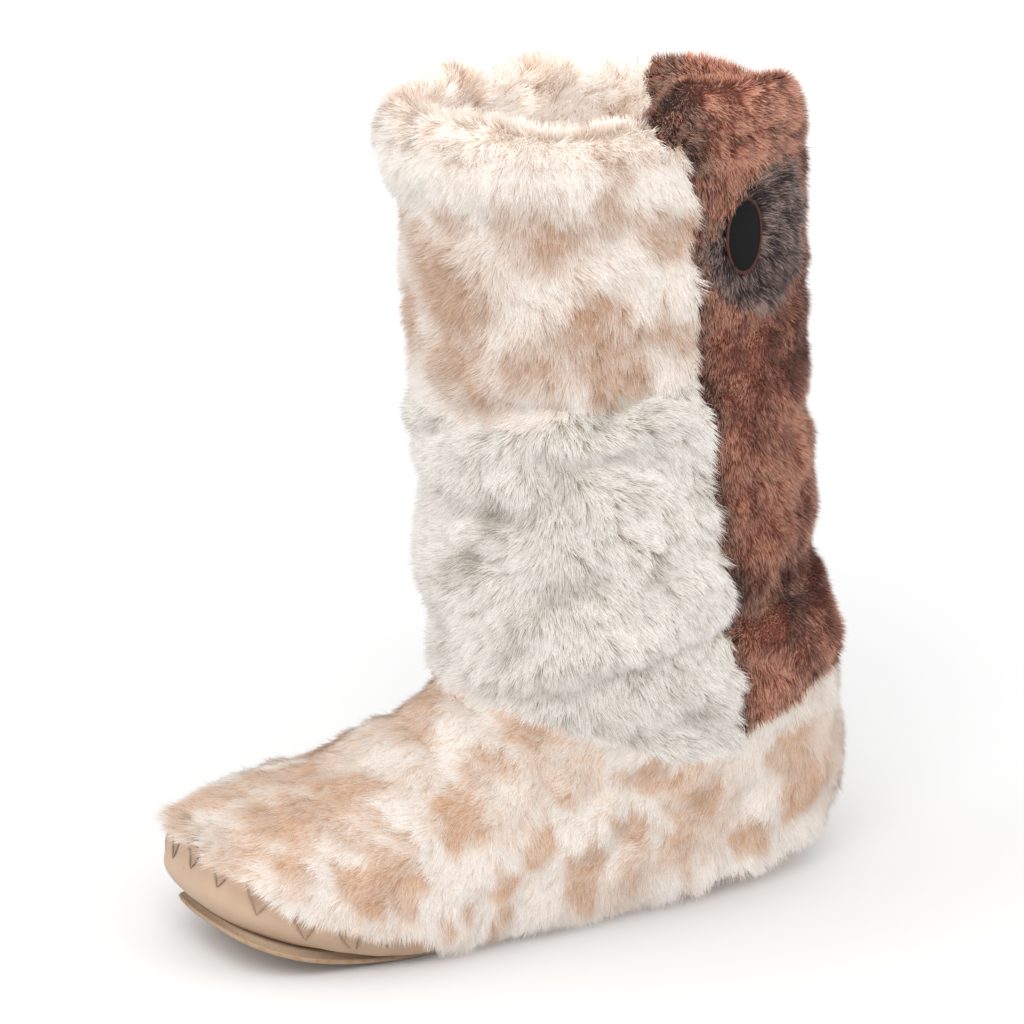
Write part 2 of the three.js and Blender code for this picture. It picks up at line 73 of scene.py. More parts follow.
# Sections of the hide from the toe round the heel to the collar: top point x z, low point x z, outer and
# inner half widths, sideways shift, share of the height where it is widest, roundness below and above
SECTIONS = np.array([
    [TOE_TIP, SPRING + 12, TOE_TIP, SPRING + 12, 0.5, 0.5, -5, 0.45, 2.4, 2],
    [TOE_TIP - 3.5, SPRING + 24, TOE_TIP - 2.5, SPRING + 2, 20, 20, -5, 0.45, 2.8, 2],
    [TOE_TIP - 14, SPRING + 30, TOE_TIP - 13, SEAT + 0.4 * SPRING, BALL - 13, BALL - 13, -4.5, 0.42, 3.4, 2],
    [TOE_TIP - 35, 55, TOE_TIP - 34, SEAT + 0.12 * SPRING, BALL - 2.5, BALL - 2.5, -3, 0.4, 4, 2],
    [TOE_TIP - 64, 60.5, TOE_TIP - 68, SEAT, BALL, BALL, 0, 0.38, 4.5, 2],
    [ANKLE + 21, INSTEP - 10, 90, SEAT, BALL - 1, BALL - 2, 1, 0.37, 4.5, 2],
    [ANKLE + 8, INSTEP - 3, 45, SEAT, BALL - 2, BALL - 4, 1, 0.37, 4.5, 2],
    [ANKLE + 3.5, INSTEP, 5, SEAT, HEEL + 3.5, HEEL + 2, 0, 0.39, 4.5, 2.1],
    [ANKLE + 2, INSTEP + 3, HEEL_BACK + 26, SEAT + 2.2, HEEL + 0.5, HEEL - 0.5, 0, 0.42, 3.6, 2.2],
    [ANKLE + 1, INSTEP + 6, HEEL_BACK + 5, 27, HEEL + 2.5, HEEL + 1.5, 0, 0.45, 2.8, 2.2],
    [ANKLE, INSTEP + 10, HEEL_BACK + 0.5, 52, HEEL + 5.5, HEEL + 4.5, 0, 0.48, 2.4, 2.2],
    [ANKLE - 2, INSTEP + 19, HEEL_BACK + 6, 80, CALF - 5.5, CALF - 6.5, 0, 0.5, 2.2, 2.2],
    [ANKLE - 1.5, 120, HEEL_BACK + 13.5, 113, CALF - 1.5, CALF - 2.5, 0, 0.5, 2.2, 2.2],
    [SHAFT_FRONT + 0.4, 163, SHAFT_BACK + 0.4, 162, CALF - 0.5, CALF - 1, 0, 0.5, 2.2, 2.2],
    [SHAFT_FRONT + 4.4, UPPER_RING + 1, SHAFT_BACK + 4.4, UPPER_RING - 1, CALF + 0.5, CALF, 0, 0.5, 2.2, 2.2],
    [SHAFT_FRONT + 9, BOOT_HEIGHT, SHAFT_BACK + 7, BOOT_HEIGHT, CALF + 1.5, CALF + 1, 0, 0.5, 2.2, 2.2],
])
LAST = len(SECTIONS) - 1

# Seams in the side view as x and z, from the toe backwards, and the upright seams as z and x
HEM = ((230, 46), (197, 45), (193, 40), (188, 34), (180, 27), (167, 20), (150, 17.5), (133, 15), (118, 12),
       (105, 9.5), (62, 9), (40, 10.5), (10, 15), (-5, 15.5), (-30, 17.5), (-52, 22), (-90, 26))
ANKLE_SEAM = ((130, 101), (97, 99.5), (93, 94), (82, 86.5), (71, 81), (45, 72), (30, 65.5), (20, 62.5),
              (10, 65), (0, 70), (-22, 77), (-41, 82), (-90, 86))
TOP_SEAM = ((130, 195), (97, 194), (88, 190), (78, 192), (64, 199), (33, 207), (-90, 212))
OUTER_SEAM = ((40, 2), (68, 4), (116, 14), (170, 21.5), (212, 28.5), (250, 31.5), (265, 32.5), (275, 34),
              (283, 36), (340, 44))
INNER_SEAM = ((40, -34), (68, -32), (116, -24), (170, -22), (212, -19), (283, -16), (340, -16))
PATCH_ANGLE = 63.0
PATCH_HEIGHT = 256.0
PATCH_RADIUS = 28.0
PATCH_FLAP = 17.0
BADGE_ANGLE = 71.5
BADGE_HALF = (8.75, 14.0)

# The furs, and the pile of each over the hide
PANELS = ("foot", "front", "top", "back", "patch")


def by_fur(*values):
    """One value for each fur, in the order of the panels."""
    return dict(zip(PANELS, values))


PILE = by_fur(9.0, 11.5, 10.0, 9.5, 8.0)
TOE_PILE = 4.0
TOE_START = TOE_TIP - 6
TOE_FADE = 25.0
PINCH = 0.5
PINCH_SPREAD = 38.0
PINCH_STATION = 8.6
PINCH_HALF = 1.5
ROLL_PILE = 6.0
ROLL_START = BOOT_HEIGHT - 15.0

# Folds of the slack fur: middle as angle and height, half spread in degrees, half height above and below,
# climb towards larger angles, and lift, which is negative in a trough
FOLDS = np.array([
    [185, 284, 70, 13, 14, 0, 7.0],
    [150, 262, 80, 8, 10, 0, -3.0],
    [130, 199, 85, 5, 6, -10, -3.5],
    [113, 113, 36, 18, 5, -14, 7.0],
    [113, 102, 34, 5, 8, -14, -5.0],
    [125, 189, 25, 7, 4, -3, 4.5],
    [114, 178, 22, 5, 6, 4, -4.5],
    [186, 191, 20, 6, 6, -5, 3.0],
    [155, 157, 9, 8, 7, 0, -6.0],
    [163, 139, 16, 6, 3, 0, -4.5],
    [135, 172, 9, 7, 7, 21, -4.5],
    [182, 180, 22, 6, 5, -7, -3.5],
    [120, 146, 34, 14, 12, 8, 2.5],
    [50, 122, 32, 8, 5, -7, -8.0],
    [40, 97, 62, 14, 18, 0, 4.5],
    [76, 97, 15, 4, 4, 4, -3.5],
    [30, 182, 40, 7, 5, 6, -2.5],
    [68, 224, 40, 6, 5, -6, -2.5],
    [250, 128, 65, 16, 6, 8, 4.5],
    [250, 116, 60, 5, 8, 8, -3.5],
    [255, 172, 50, 12, 6, -8, 3.0],
    [215, 158, 30, 6, 5, 8, -3.5],
])

# Creases of the foot's fur: middle as angle and x, half spread, half length along the foot, and lift
CREASES = np.array([
    [168, 108, 18, 4, -3.0],
    [120, 74, 16, 8, -2.5],
    [140, 128, 22, 12, 1.5],
    [95, 20, 20, 14, 2.0],
    [230, 105, 30, 6, -2.0],
])


def line_at(line, where):
    """A seam line's second value where its first is given, straight between its points."""
    first, second = np.array(sorted(line)).T
    return np.interp(where, first, second)


UP = np.array([0, 0, 1.0])
LEVEL = np.array([1, 1, 0])


def bell(distance):
    """1 at the middle, falling smoothly to about a third at 1 and to nothing past 2."""
    return np.exp(-distance * distance)


def ease(low, high, value):
    """0 below low, 1 above high, and a smooth step between."""
    t = np.clip((value - low) / (high - low), 0, 1)
    return t * t * (3 - 2 * t)


def unit(vectors):
    """Vectors of length 1 along the given ones."""
    return vectors / np.maximum(np.linalg.norm(vectors, axis=-1, keepdims=True), 1e-9)


def turn(from_angle, to_angle):
    """The shorter turn between two angles, from -180 to 180 degrees."""
    return (to_angle - from_angle + 540) % 360 - 180


def ripple(points, wavelength, seed, waves=14):
    """Smooth noise of about -1 to 1: a sum of sine waves of one length in random directions."""
    own = np.random.default_rng(seed)
    across = unit(own.normal(size=(waves, 3))) * (2 * math.pi / wavelength)
    across = across * own.uniform(0.7, 1.4, (waves, 1))
    phase = own.uniform(0, 2 * math.pi, waves)
    return np.sin(points @ across.T + phase).sum(-1) / math.sqrt(waves)


def ripples(points, *rows):
    """Sum of ripples, each a size, wavelength and seed."""
    return sum(size * ripple(points, wavelength, seed) for size, wavelength, seed in rows)


def smooth_through(rows, place):
    """A cubic through rows of numbers, each row's slope that of its neighbours, at places counted in rows."""
    last = len(rows) - 1
    i = np.clip(np.floor(place).astype(int), 0, last - 1)
    t = (place - i)[..., None]
    before, start, end, after = (rows[np.clip(i + k, 0, last)] for k in (-1, 0, 1, 2))
    step = t * t * (3 - 2 * t)
    rise = t * (1 - t) ** 2
    fall = t * t * (t - 1)
    return start * (1 - step) + end * step + (end - before) / 2 * rise + (after - start) / 2 * fall


def hide(angle, station):
    """The hide: a superellipse in its section's plane, from the low point (0) over the outer side (90)."""
    rows = np.moveaxis(smooth_through(SECTIONS, station), -1, 0)
    top_x, top_z, low_x, low_z, outer, inner, side, widest, low_round, top_round = rows
    along = np.cos(np.radians(angle))
    across = np.sin(np.radians(angle))
    power = np.where(along > 0, low_round, top_round)
    radius = (np.abs(along) ** power + np.abs(across) ** power) ** (-1 / power)
    share = widest - np.where(along > 0, widest, 1 - widest) * radius * along
    y = side + np.where(across > 0, outer, inner) * radius * across
    return np.stack([low_x + (top_x - low_x) * share, y, low_z + (top_z - low_z) * share], -1)


def hide_normal(angle, station):
    """The hide's outward direction: square to its slopes along and round it, by small steps."""
    low, high = (np.clip(station + step, 0.02, LAST) for step in (-0.04, 0.04))
    along = hide(angle, high) - hide(angle, low)
    round_it = hide(angle + 1, station) - hide(angle - 1, station)
    return unit(np.cross(along, round_it))


def station_at(height):
    """Station of a height near the collar."""
    return LAST - 1 + (height - UPPER_RING) / (BOOT_HEIGHT - UPPER_RING)


FOLD_WANDER = (2.2, 30, 23)
CLIMB_END = 1.2
FOOT_FADE = (12, -6)


def folds(angle, point):
    """Sum of soft ridges and troughs, each a bell across and a bell with its own slope above and below."""
    x = point[..., 0]
    height = point[..., 2] + ripples(point, FOLD_WANDER)
    total = np.zeros(np.shape(height))
    for middle, level, spread, above, below, climb, lift in FOLDS:
        across = turn(middle, angle) / spread
        off = height - level - climb * np.clip(across, -CLIMB_END, CLIMB_END)
        total += lift * bell(across) * bell(off / np.where(off > 0, above, below))
    foot = ease(*FOOT_FADE, point[..., 2] - line_at(ANKLE_SEAM, x))
    for middle, place, spread, half, lift in CREASES:
        total += foot * lift * bell(turn(middle, angle) / spread) * bell((x - place) / half)
    return total


def pile_depth(pile, angle, station, point):
    """Pile over the hide: full on the boot, thin at the toe, and pinched in the crease of the ankle."""
    toe = np.clip((TOE_START - point[..., 0]) / TOE_FADE, 0, 1)
    pinch = PINCH * bell(turn(180, angle) / PINCH_SPREAD) * bell((station - PINCH_STATION) / PINCH_HALF)
    return (TOE_PILE + (pile - TOE_PILE) * toe) * (1 - pinch)


SKIN_SHARE = 0.5
SKIN_LEAST = 0.8
TUFTS = (0.75, 17, 19)


def skin_depth(pile, angle, station, point):
    """The skin under the hairs: a share of the pile, raised and sunk by the folds and by tufts all over."""
    depth = pile_depth(pile, angle, station, point) * SKIN_SHARE + folds(angle, point)
    return np.maximum(depth + ripples(point, TUFTS), SKIN_LEAST)


def fur_body(pile):
    """A skin under the fur, as a function of angle and station."""
    def surface(angle, station):
        point = hide(angle, station)
        depth = skin_depth(pile, angle, station, point)
        return point + hide_normal(angle, station) * depth[..., None]
    return surface


ROLL_STATION = station_at(ROLL_START)
ROLL_CREST = BOOT_HEIGHT - 0.5
ROLL_DROP = 22.0
LUMPS = (1.0, 52, 17)
LUMP_RISE = 1.8
LUMP_PILE = 0.8
INNER_PILE = 1.4
COLLAR_STAND = 15.0
STAND_BACK = (14, 64)
STAND_FRONT = (103, 88)
SEAM_SWEEP = 10.0
SWEEP_OVER = (0, 0.6)


def collar_stand(angle):
    """Extra height of the collar where the back fur stands up on the outer side."""
    outward = turn(0, angle)
    return COLLAR_STAND * ease(*STAND_BACK, outward) * ease(*STAND_FRONT, outward)


def fur_roll(pile):
    """The collar's roll: from the outer side (0) over the crest (0.5) to the inner side (1), and down (2)."""
    def surface(angle, over):
        station = np.full(np.shape(angle), ROLL_STATION)
        point = hide(angle, station)
        out = unit(hide_normal(angle, station) * LEVEL)
        outer = skin_depth(pile, angle, station, point)
        lump = ripples(point, LUMPS)
        inner = -WALL - ROLL_PILE * SKIN_SHARE * (INNER_PILE + LUMP_PILE * lump)
        turned = np.pi * np.clip(over, 0, 1)
        depth = (outer + inner) / 2 + (outer - inner) / 2 * np.cos(turned)
        crest = ROLL_CREST - ROLL_START + LUMP_RISE * lump + collar_stand(angle)
        rise = crest * np.sin(turned) - ROLL_DROP * np.clip(over - 1, 0, 1)
        lifted = (rise + ROLL_START - point[..., 2])[..., None] * UP
        return point + out * depth[..., None] + lifted
    return surface


ROUND_STEP = 0.6
ALONG_STEP = 0.02


def frame_on(surface, a, b):
    """Point and outward direction of a surface at its two parameters, by small steps of each."""
    along = surface(a, b + ALONG_STEP) - surface(a, b - ALONG_STEP)
    round_it = surface(a + ROUND_STEP, b) - surface(a - ROUND_STEP, b)
    return surface(a, b), unit(np.cross(along, round_it))


# Which fur covers a place on the hide
def is_back(point):
    """Behind the upright seam of its own side."""
    outer = point[..., 0] < line_at(OUTER_SEAM, point[..., 2])
    inner = point[..., 0] < line_at(INNER_SEAM, point[..., 2])
    return np.where(point[..., 1] > 0, outer, inner)


SHAFT_STATION = 12
SEAT_STEPS = 400
ELSEWHERE = 9


def seat_of(angle, height):
    """Point, outward, across and up directions at a place on the shaft."""
    stations = np.linspace(SHAFT_STATION, LAST, SEAT_STEPS)
    line = hide(np.full(SEAT_STEPS, angle), stations)
    place = np.array([angle]), np.array([np.interp(height, line[:, 2], stations)])
    out = unit(hide_normal(*place)[0] * LEVEL)
    return hide(*place)[0], out, np.cross(UP, out), UP


PATCH_SEAT = seat_of(PATCH_ANGLE, PATCH_HEIGHT)
BADGE_SEAT = seat_of(BADGE_ANGLE, PATCH_HEIGHT)


def from_seat(seat, point):
    """How far across and up from a seat's middle a point is."""
    centre, _, across, up = seat
    return (point - centre) @ across, (point - centre) @ up


def from_patch(point):
    """Distance from the patch's middle as a share of its radius, on the outer side only."""
    near = np.hypot(*from_seat(PATCH_SEAT, point)) / PATCH_RADIUS
    return np.where(point[..., 1] > 0, near, ELSEWHERE)


def under_flap(point):
    """Below the slanting edge where the brown fur laps over the patch."""
    across, up = from_seat(BADGE_SEAT, point)
    return up - across < PATCH_FLAP


def from_badge(point):
    """Distance from the badge's middle as a share of its oval, on the outer side only."""
    across, up = from_seat(BADGE_SEAT, point)
    near = np.hypot(across / BADGE_HALF[0], up / BADGE_HALF[1])
    return np.where(point[..., 1] > 0, near, ELSEWHERE)


SEAM_WANDER = (1.6, 26, 5)
PATCH_WANDER = 0.05
HEM_LIFT = 3.0
LIFT_ZONE = (100, 170)


def panel_of(point):
    """Name index of the fur at a place: 0 foot, 1 front, 2 top, 3 back, 4 patch, and -1 under the hem."""
    wander = ripples(point, SEAM_WANDER)
    x, z = point[..., 0], point[..., 2] + wander
    moved = point + np.array([1.0, 0, 0]) * wander[..., None]
    panel = np.where(z > line_at(TOP_SEAM, x), 2, 1)
    panel = np.where(is_back(moved), 3, panel)
    on_patch = from_patch(point) < 1 + PATCH_WANDER * wander
    panel = np.where(on_patch & under_flap(moved), 4, panel)
    panel = np.where(z < line_at(ANKLE_SEAM, x), 0, panel)
    root_hem = line_at(HEM, x) + HEM_LIFT * ease(*LIFT_ZONE, x)
    return np.where(z < root_hem, -1, panel)


# Small functions for materials and meshes
def srgb(code):
    """Linear colour of an sRGB hex value."""
    channels = [int(code[i:i + 2], 16) / 255 for i in (1, 3, 5)]
    return [c / 12.92 if c <= 0.04045 else ((c + 0.055) / 1.055) ** 2.4 for c in channels] + [1.0]


def add(tree, kind, inputs=None, **settings):
    """Adds a node with its settings; an input is a value or the socket that feeds it."""
    node = tree.nodes.new(kind)
    for name, value in settings.items():
        setattr(node, name, value)
    for name, value in (inputs or {}).items():
        if isinstance(value, bpy.types.NodeSocket):
            tree.links.new(value, node.inputs[name])
        else:
            node.inputs[name].default_value = value
    return node


def new_material(name):
    """An empty material with its node tree and shader."""
    material = bpy.data.materials.new(name)
    material.use_nodes = True
    tree = material.node_tree
    return material, tree, tree.nodes["Principled BSDF"]


def put_mesh(name, points, faces, material):
    """A smooth mesh object from whole arrays: points in mm, and faces of one size as rows of indices."""
    mesh = bpy.data.meshes.new(name)
    count, size = faces.shape
    mesh.vertices.add(len(points))
    mesh.vertices.foreach_set("co", (points * MM).astype(np.float32).ravel())
    mesh.loops.add(count * size)
    mesh.loops.foreach_set("vertex_index", faces.astype(np.int32).ravel())
    mesh.polygons.add(count)
    mesh.polygons.foreach_set("loop_start", np.arange(0, count * size, size, dtype=np.int32))
    mesh.polygons.foreach_set("use_smooth", np.full(count, True))
    mesh.update(calc_edges=True)
    mesh.materials.append(material)
    piece = bpy.data.objects.new(name, mesh)
    bpy.context.collection.objects.link(piece)
    return piece


def put_layer(piece, name, kind, field, values):
    """A named value at each point of a mesh, for its material to read."""
    layer = piece.data.attributes.new(name, kind, "POINT")
    layer.data.foreach_set(field, values.astype(np.float32).ravel())


def attach(piece, slot, *nodes):
    """Every piece rides on the one body and stands for its CAD nodes, which it hides; the slot is not used.
    """
    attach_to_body(piece, "root")
    if nodes:
        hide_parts(*nodes)
    return piece


def grid_over(firsts, seconds):
    """Two grids that pair every first value with every second."""
    return np.meshgrid(firsts, seconds, indexing="ij")


def grid_faces(rows, columns):
    """Quad of each cell of a grid of points in row order, closed round its rows."""
    a, b = grid_over(np.arange(rows), np.arange(columns - 1))
    after = (a + 1) % rows
    return np.stack([a * columns + b, a * columns + b + 1, after * columns + b + 1, after * columns + b], -1)


def cut_sheet(points, keep):
    """Points and quads of a closed grid's kept cells, without the points that none of them uses."""
    rows, columns, size = points.shape
    quads = grid_faces(rows, columns)[keep]
    used, packed = np.unique(quads, return_inverse=True)
    return points.reshape(-1, size)[used], packed.reshape(quads.shape)


def thicken(piece, thickness):
    """A wall of even thickness, inwards from the piece's surface."""
    modifier = piece.modifiers.new("wall", "SOLIDIFY")
    modifier.thickness = thickness * MM
    modifier.offset = -1
    return piece


TUBE_END = 0.55
ODD_WAY = np.array([0.31, 0.52, 0.79])


def tubes(paths, radius, sides=6):
    """Round threads: a ring of points about each knot of each path, smaller at the ends."""
    count, knots, _ = paths.shape
    along = unit(np.gradient(paths, axis=1))
    across = unit(np.cross(along, ODD_WAY))
    other = np.cross(along, across)
    spin = np.linspace(0, 2 * np.pi, sides, endpoint=False)
    thin = radius * np.ones(knots)
    thin[[0, -1]] *= TUBE_END
    wheel = np.cos(spin)[:, None] * across[..., None, :] + np.sin(spin)[:, None] * other[..., None, :]
    rings = paths[:, :, None] + wheel * thin[:, None, None]
    knot, side = grid_over(np.arange(knots - 1) * sides, np.arange(sides))
    after = (side + 1) % sides
    one = np.stack([knot + side, knot + after, knot + sides + after, knot + sides + side], -1).reshape(-1, 4)
    faces = one + (np.arange(count) * knots * sides)[:, None, None]
    return rings.reshape(-1, 3), faces.reshape(-1, 4)


# Finishes of the furs
HAIR_STOPS = (0.0, 0.45, 1.0)


def fur_material(name, plain, spot):
    """Long acrylic pile: hairs run from a deep root, partly painted shade, to a pale tip; spots are dyed
    through.

    The attribute hair holds place along the hair, spot strength and each hair's own shade.
    """
    material, tree, shader = new_material(name)
    hair = add(tree, "ShaderNodeAttribute", attribute_name="hair")
    parts = add(tree, "ShaderNodeSeparateColor", {"Color": hair.outputs["Color"]})
    ramps = []
    for colours in (plain, spot):
        ramp = add(tree, "ShaderNodeValToRGB", {"Fac": parts.outputs["Red"]})
        ramp.color_ramp.elements.new(0.5)
        for element, place, colour in zip(ramp.color_ramp.elements, HAIR_STOPS, colours.split()):
            element.position = place
            element.color = srgb(colour)
        ramps.append(ramp.outputs["Color"])
    dyed = add(tree, "ShaderNodeMix", {0: parts.outputs["Green"], 6: ramps[0], 7: ramps[1]}, data_type="RGBA")
    shade = add(tree, "ShaderNodeHueSaturation", {"Color": dyed.outputs[2], "Value": parts.outputs["Blue"]})
    tree.links.new(shade.outputs["Color"], shader.inputs["Base Color"])
    shader.inputs["Roughness"].default_value = 0.62
    shader.inputs["Specular IOR Level"].default_value = 0.1
    shader.inputs["Sheen Weight"].default_value = 0.05
    return material


# Root, middle and tip colours of each fur and of its spots; the deep roots are partly painted shade between
# hairs
FUR = by_fur(
    fur_material("spotted_acrylic_pile", "#BDA995 #CABFB5 #E5E2DF", "#936D50 #A98265 #C5A68D"),
    fur_material("frosted_acrylic_pile", "#6E5F50 #B5AEA5 #E9E6E2", "#463B30 #776E62 #B0AAA2"),
    fur_material("cream_acrylic_pile", "#A08B78 #C3B8AE #E1DEDA", "#73533C #8F6D54 #B0917A"),
    fur_material("russet_acrylic_pile", "#250E08 #733B2B #C89B84", "#0E0604 #2E1D17 #8C7467"),
    fur_material("charcoal_acrylic_pile", "#0E090A #36292A #C2A69A", "#060505 #110C0D #342B2C"),
)


# Spots of the dyed furs: angle, station, radius in mm and strength
SPOTS = np.array([
    [123, 4.7, 12, 1.0], [107, 3.3, 8, 1.0], [122, 2.6, 9, 0.9], [96, 3.9, 7, 0.9], [142, 5.7, 11, 0.8],
    [143, 8.8, 9, 0.8], [92, 4.9, 9, 0.9], [73, 4.3, 8, 0.8], [68, 4.8, 8, 0.8], [103, 5.6, 9, 0.9],
    [158, 3.6, 15, 0.9], [172, 5.2, 13, 0.7], [156, 2.7, 15, 0.9], [196, 2.0, 13, 0.8], [138, 2.0, 12, 0.7],
    [134, 3.6, 12, 0.6], [123, 3.8, 9, 0.8], [93, 6.8, 9, 0.9], [91, 6.0, 9, 0.8], [113, 6.2, 8, 0.6],
    [93, 8.6, 13, 0.9], [106, 8.7, 9, 0.8], [54, 9.2, 11, 0.9], [63, 9.9, 8, 0.8], [71, 7.1, 9, 0.8],
    [67, 5.7, 8, 0.8], [59, 6.2, 7, 0.7], [66, 8.1, 8, 0.8],
    [185, 3.3, 13, 0.8], [205, 4.2, 13, 0.8], [230, 3.4, 11, 0.9], [222, 5.4, 13, 0.9], [250, 4.6, 10, 0.9],
    [262, 5.8, 12, 0.9], [236, 8.6, 11, 0.9], [280, 6.8, 11, 0.9], [265, 8.8, 12, 0.8], [300, 8.4, 11, 0.9],
    [318, 9.6, 11, 0.9], [345, 9.9, 10, 0.8], [20, 9.7, 10, 0.8], [188, 6.6, 10, 0.7],
])
TOP_SPOTS = np.array([
    [170, 14.2, 19, 1.0], [121, 14.1, 16, 1.0], [118, 14.6, 10, 0.8], [118, 14.8, 10, 0.8],
    [101, 14.8, 9, 0.8], [100, 14.5, 10, 0.8], [130, 14.5, 11, 0.9], [144, 14.6, 9, 0.7],
    [156, 14.1, 14, 1.0], [163, 13.8, 17, 1.0], [144, 13.9, 10, 0.9], [104, 14.1, 10, 0.9],
    [113, 13.8, 12, 0.9], [134, 13.8, 10, 0.9], [94, 14.0, 8, 0.7], [168, 14.5, 9, 0.8],
    [192, 14.0, 14, 0.9], [212, 14.4, 14, 0.9], [236, 13.9, 14, 0.9], [262, 14.3, 13, 0.9],
    [288, 13.9, 13, 0.9], [300, 14.6, 12, 0.8], [205, 14.9, 10, 0.8], [240, 14.9, 11, 0.8],
    [278, 14.9, 10, 0.8],
])


SPOT_STRENGTH = 0.9
SPOT_CLOUD = (-0.4, 1.4)


def spotted(spots, seed, core, edge, faint):
    """Strength of the dyed spots: the strongest of soft discs with wandering edges, and a faint cloud."""
    middles = hide(spots[:, 0], spots[:, 1])

    def tone(point):
        wander = ripples(point, (3.5, 30, seed), (2, 12, seed + 1))
        strongest = np.zeros(point.shape[:-1])
        for middle, (_, _, radius, strength) in zip(middles, spots):
            away = np.linalg.norm(point - middle, axis=-1) + wander
            strongest = np.maximum(strongest, strength * (1 - ease(core * radius, edge * radius, away)))
        cloud = faint * ease(*SPOT_CLOUD, ripple(point, 40, seed + 2))
        return np.clip(SPOT_STRENGTH * strongest + cloud * (1 - strongest), 0, 1)
    return tone


# Places where a pile parts or creases and shows darker, from its roots' own colour and painted shade in the
# hollows:
# angle, station, radius in mm and strength
PARTINGS = ((155, 12.9, 8, 1.2), (162, 12.5, 8, 0.6), (135, 13.2, 9, 0.25), (112, 11.55, 6, 0.5),
            (130, 13.4, 8, 0.2), (165, 13.3, 10, 0.3), (100, 13.45, 6, 0.4))
CREASE_SHADE = ((74, 12.0, 8, 0.5), (62, 12.05, 8, 0.7), (50, 12.1, 8, 0.45), (38, 12.2, 8, 0.3),
           (78, 11.3, 8, 0.4), (60, 14.1, 7, 0.3), (300, 12.6, 12, 0.6))


def roots_at(places, point):
    """How dark a fur shows near a list of places, from roots and painted shade: a sum of soft discs."""
    total = np.zeros(point.shape[:-1])
    for angle, station, radius, strength in places:
        middle = hide(np.array([angle]), np.array([station]))[0]
        total += strength * bell(np.linalg.norm(point - middle, axis=-1) / radius)
    return total


# How dark the furs are in places, with half widths in mm, and zones of noise, of height or across the patch
FROST_DARK, FROST_CLOUD = 0.45, (0.2, 1.5)
# Painted shade along the russet fur's seams and at its ankle seam, where the furs meet: half widths and
# strength
SEAM_SHADE_HALF = 8
ANKLE_PAINTED_SHADE, ANKLE_SHADE_HALF = 0.25, 7
RUSSET_DARK, RUSSET_CLOUD = 0.4, (0.3, 1.5)
UPPER_DARK, UPPER_ZONE = 0.25, (215, 250)
PATCH_DARK, PATCH_ZONE, PATCH_GRAIN = 0.95, (1.05, 0.75), 0.3

# How pale the furs are in places
FOOT_PALE = -0.03
BACK_PALE = 0.05
BACK_TOP_PALE, BACK_TOP = 0.2, (212, 255)
BACK_LOW_PALE, BACK_LOW, BACK_LOW_HALF = 0.32, 94, 16
CREST_PALE, CREST_PALE_ZONE = 0.04, (262, 284)
CLOUD_PALE = 0.025


def frosted(point):
    """Darker roots showing faintly all over and strongly where the pile parts, with painted shade in its
    pits.
    """
    cloud = FROST_DARK * ease(*FROST_CLOUD, ripple(point, 26, 61))
    return np.clip(cloud + roots_at(PARTINGS, point), 0, 1)


def russet(point):
    """Painted shade along the seams and in the creases; darker in patches and higher up."""
    edge = np.where(point[..., 1] > 0, line_at(OUTER_SEAM, point[..., 2]), line_at(INNER_SEAM, point[..., 2]))
    # Painted shade where the russet fur meets the other furs
    near = bell((edge - point[..., 0]) / SEAM_SHADE_HALF)
    ankle = bell((point[..., 2] - line_at(ANKLE_SEAM, point[..., 0])) / ANKLE_SHADE_HALF) * ANKLE_PAINTED_SHADE
    clouds = RUSSET_DARK * ease(*RUSSET_CLOUD, ripple(point, 30, 71))
    clouds = clouds + UPPER_DARK * ease(*UPPER_ZONE, point[..., 2])
    return np.clip(near + ankle + clouds + roots_at(CREASE_SHADE, point), 0, 1)


def charcoal(point):
    """Dark round the badge and paler at the patch's edge."""
    dark = PATCH_DARK * ease(*PATCH_ZONE, from_patch(point))
    return np.clip(dark + PATCH_GRAIN * ripple(point, 12, 81), 0, 1)


def shade_of(panel, point):
    """Shade of a fur: faintly clouded, paler at the back fur's top, in a low band on it and at the cream
    crest.
    """
    height = point[..., 2]
    back_paler = BACK_PALE + BACK_TOP_PALE * ease(*BACK_TOP, height)
    back_paler = back_paler + BACK_LOW_PALE * bell((height - BACK_LOW) / BACK_LOW_HALF)
    pale_by_fur = {"foot": FOOT_PALE, "back": back_paler, "top": CREST_PALE * ease(*CREST_PALE_ZONE, height)}
    return 1 + pale_by_fur.get(panel, 0) + CLOUD_PALE * ripple(point, 18, 95)


TONE = by_fur(
    spotted(SPOTS, 31, 0.6, 1.45, 0.45),
    frosted,
    spotted(TOP_SPOTS, 41, 0.3, 1.55, 0.4),
    russet,
    charcoal,
)


# Which way each fur lies, with the zones along the foot and above its hem that the lie changes in
FORWARD_ZONE = (-45, 75)
LIE_HEM = (16, 3)
LIE_HEM_END = (185, 150)
PARTED, PARTED_HALF, PARTED_REACH = 138.0, 40, 130
BACK_FORWARD = 0.75
PATCH_AWAY, PATCH_DOWN = 0.8, 0.6


def lie_foot(point, angle):
    """Towards the toe over the vamp, down and forwards on the sides and heel, and down at the hem."""
    x, y, z = np.moveaxis(point, -1, 0)
    forward = ease(*FORWARD_ZONE, x)
    hem = ease(*LIE_HEM, z - line_at(HEM, x)) * ease(*LIE_HEM_END, x)
    ahead = (0.25 + forward) * (1 - 0.75 * hem)
    return np.stack([ahead, 0.25 * np.sign(y) * forward, 0.2 * forward - 0.8 - 1.2 * hem], -1)


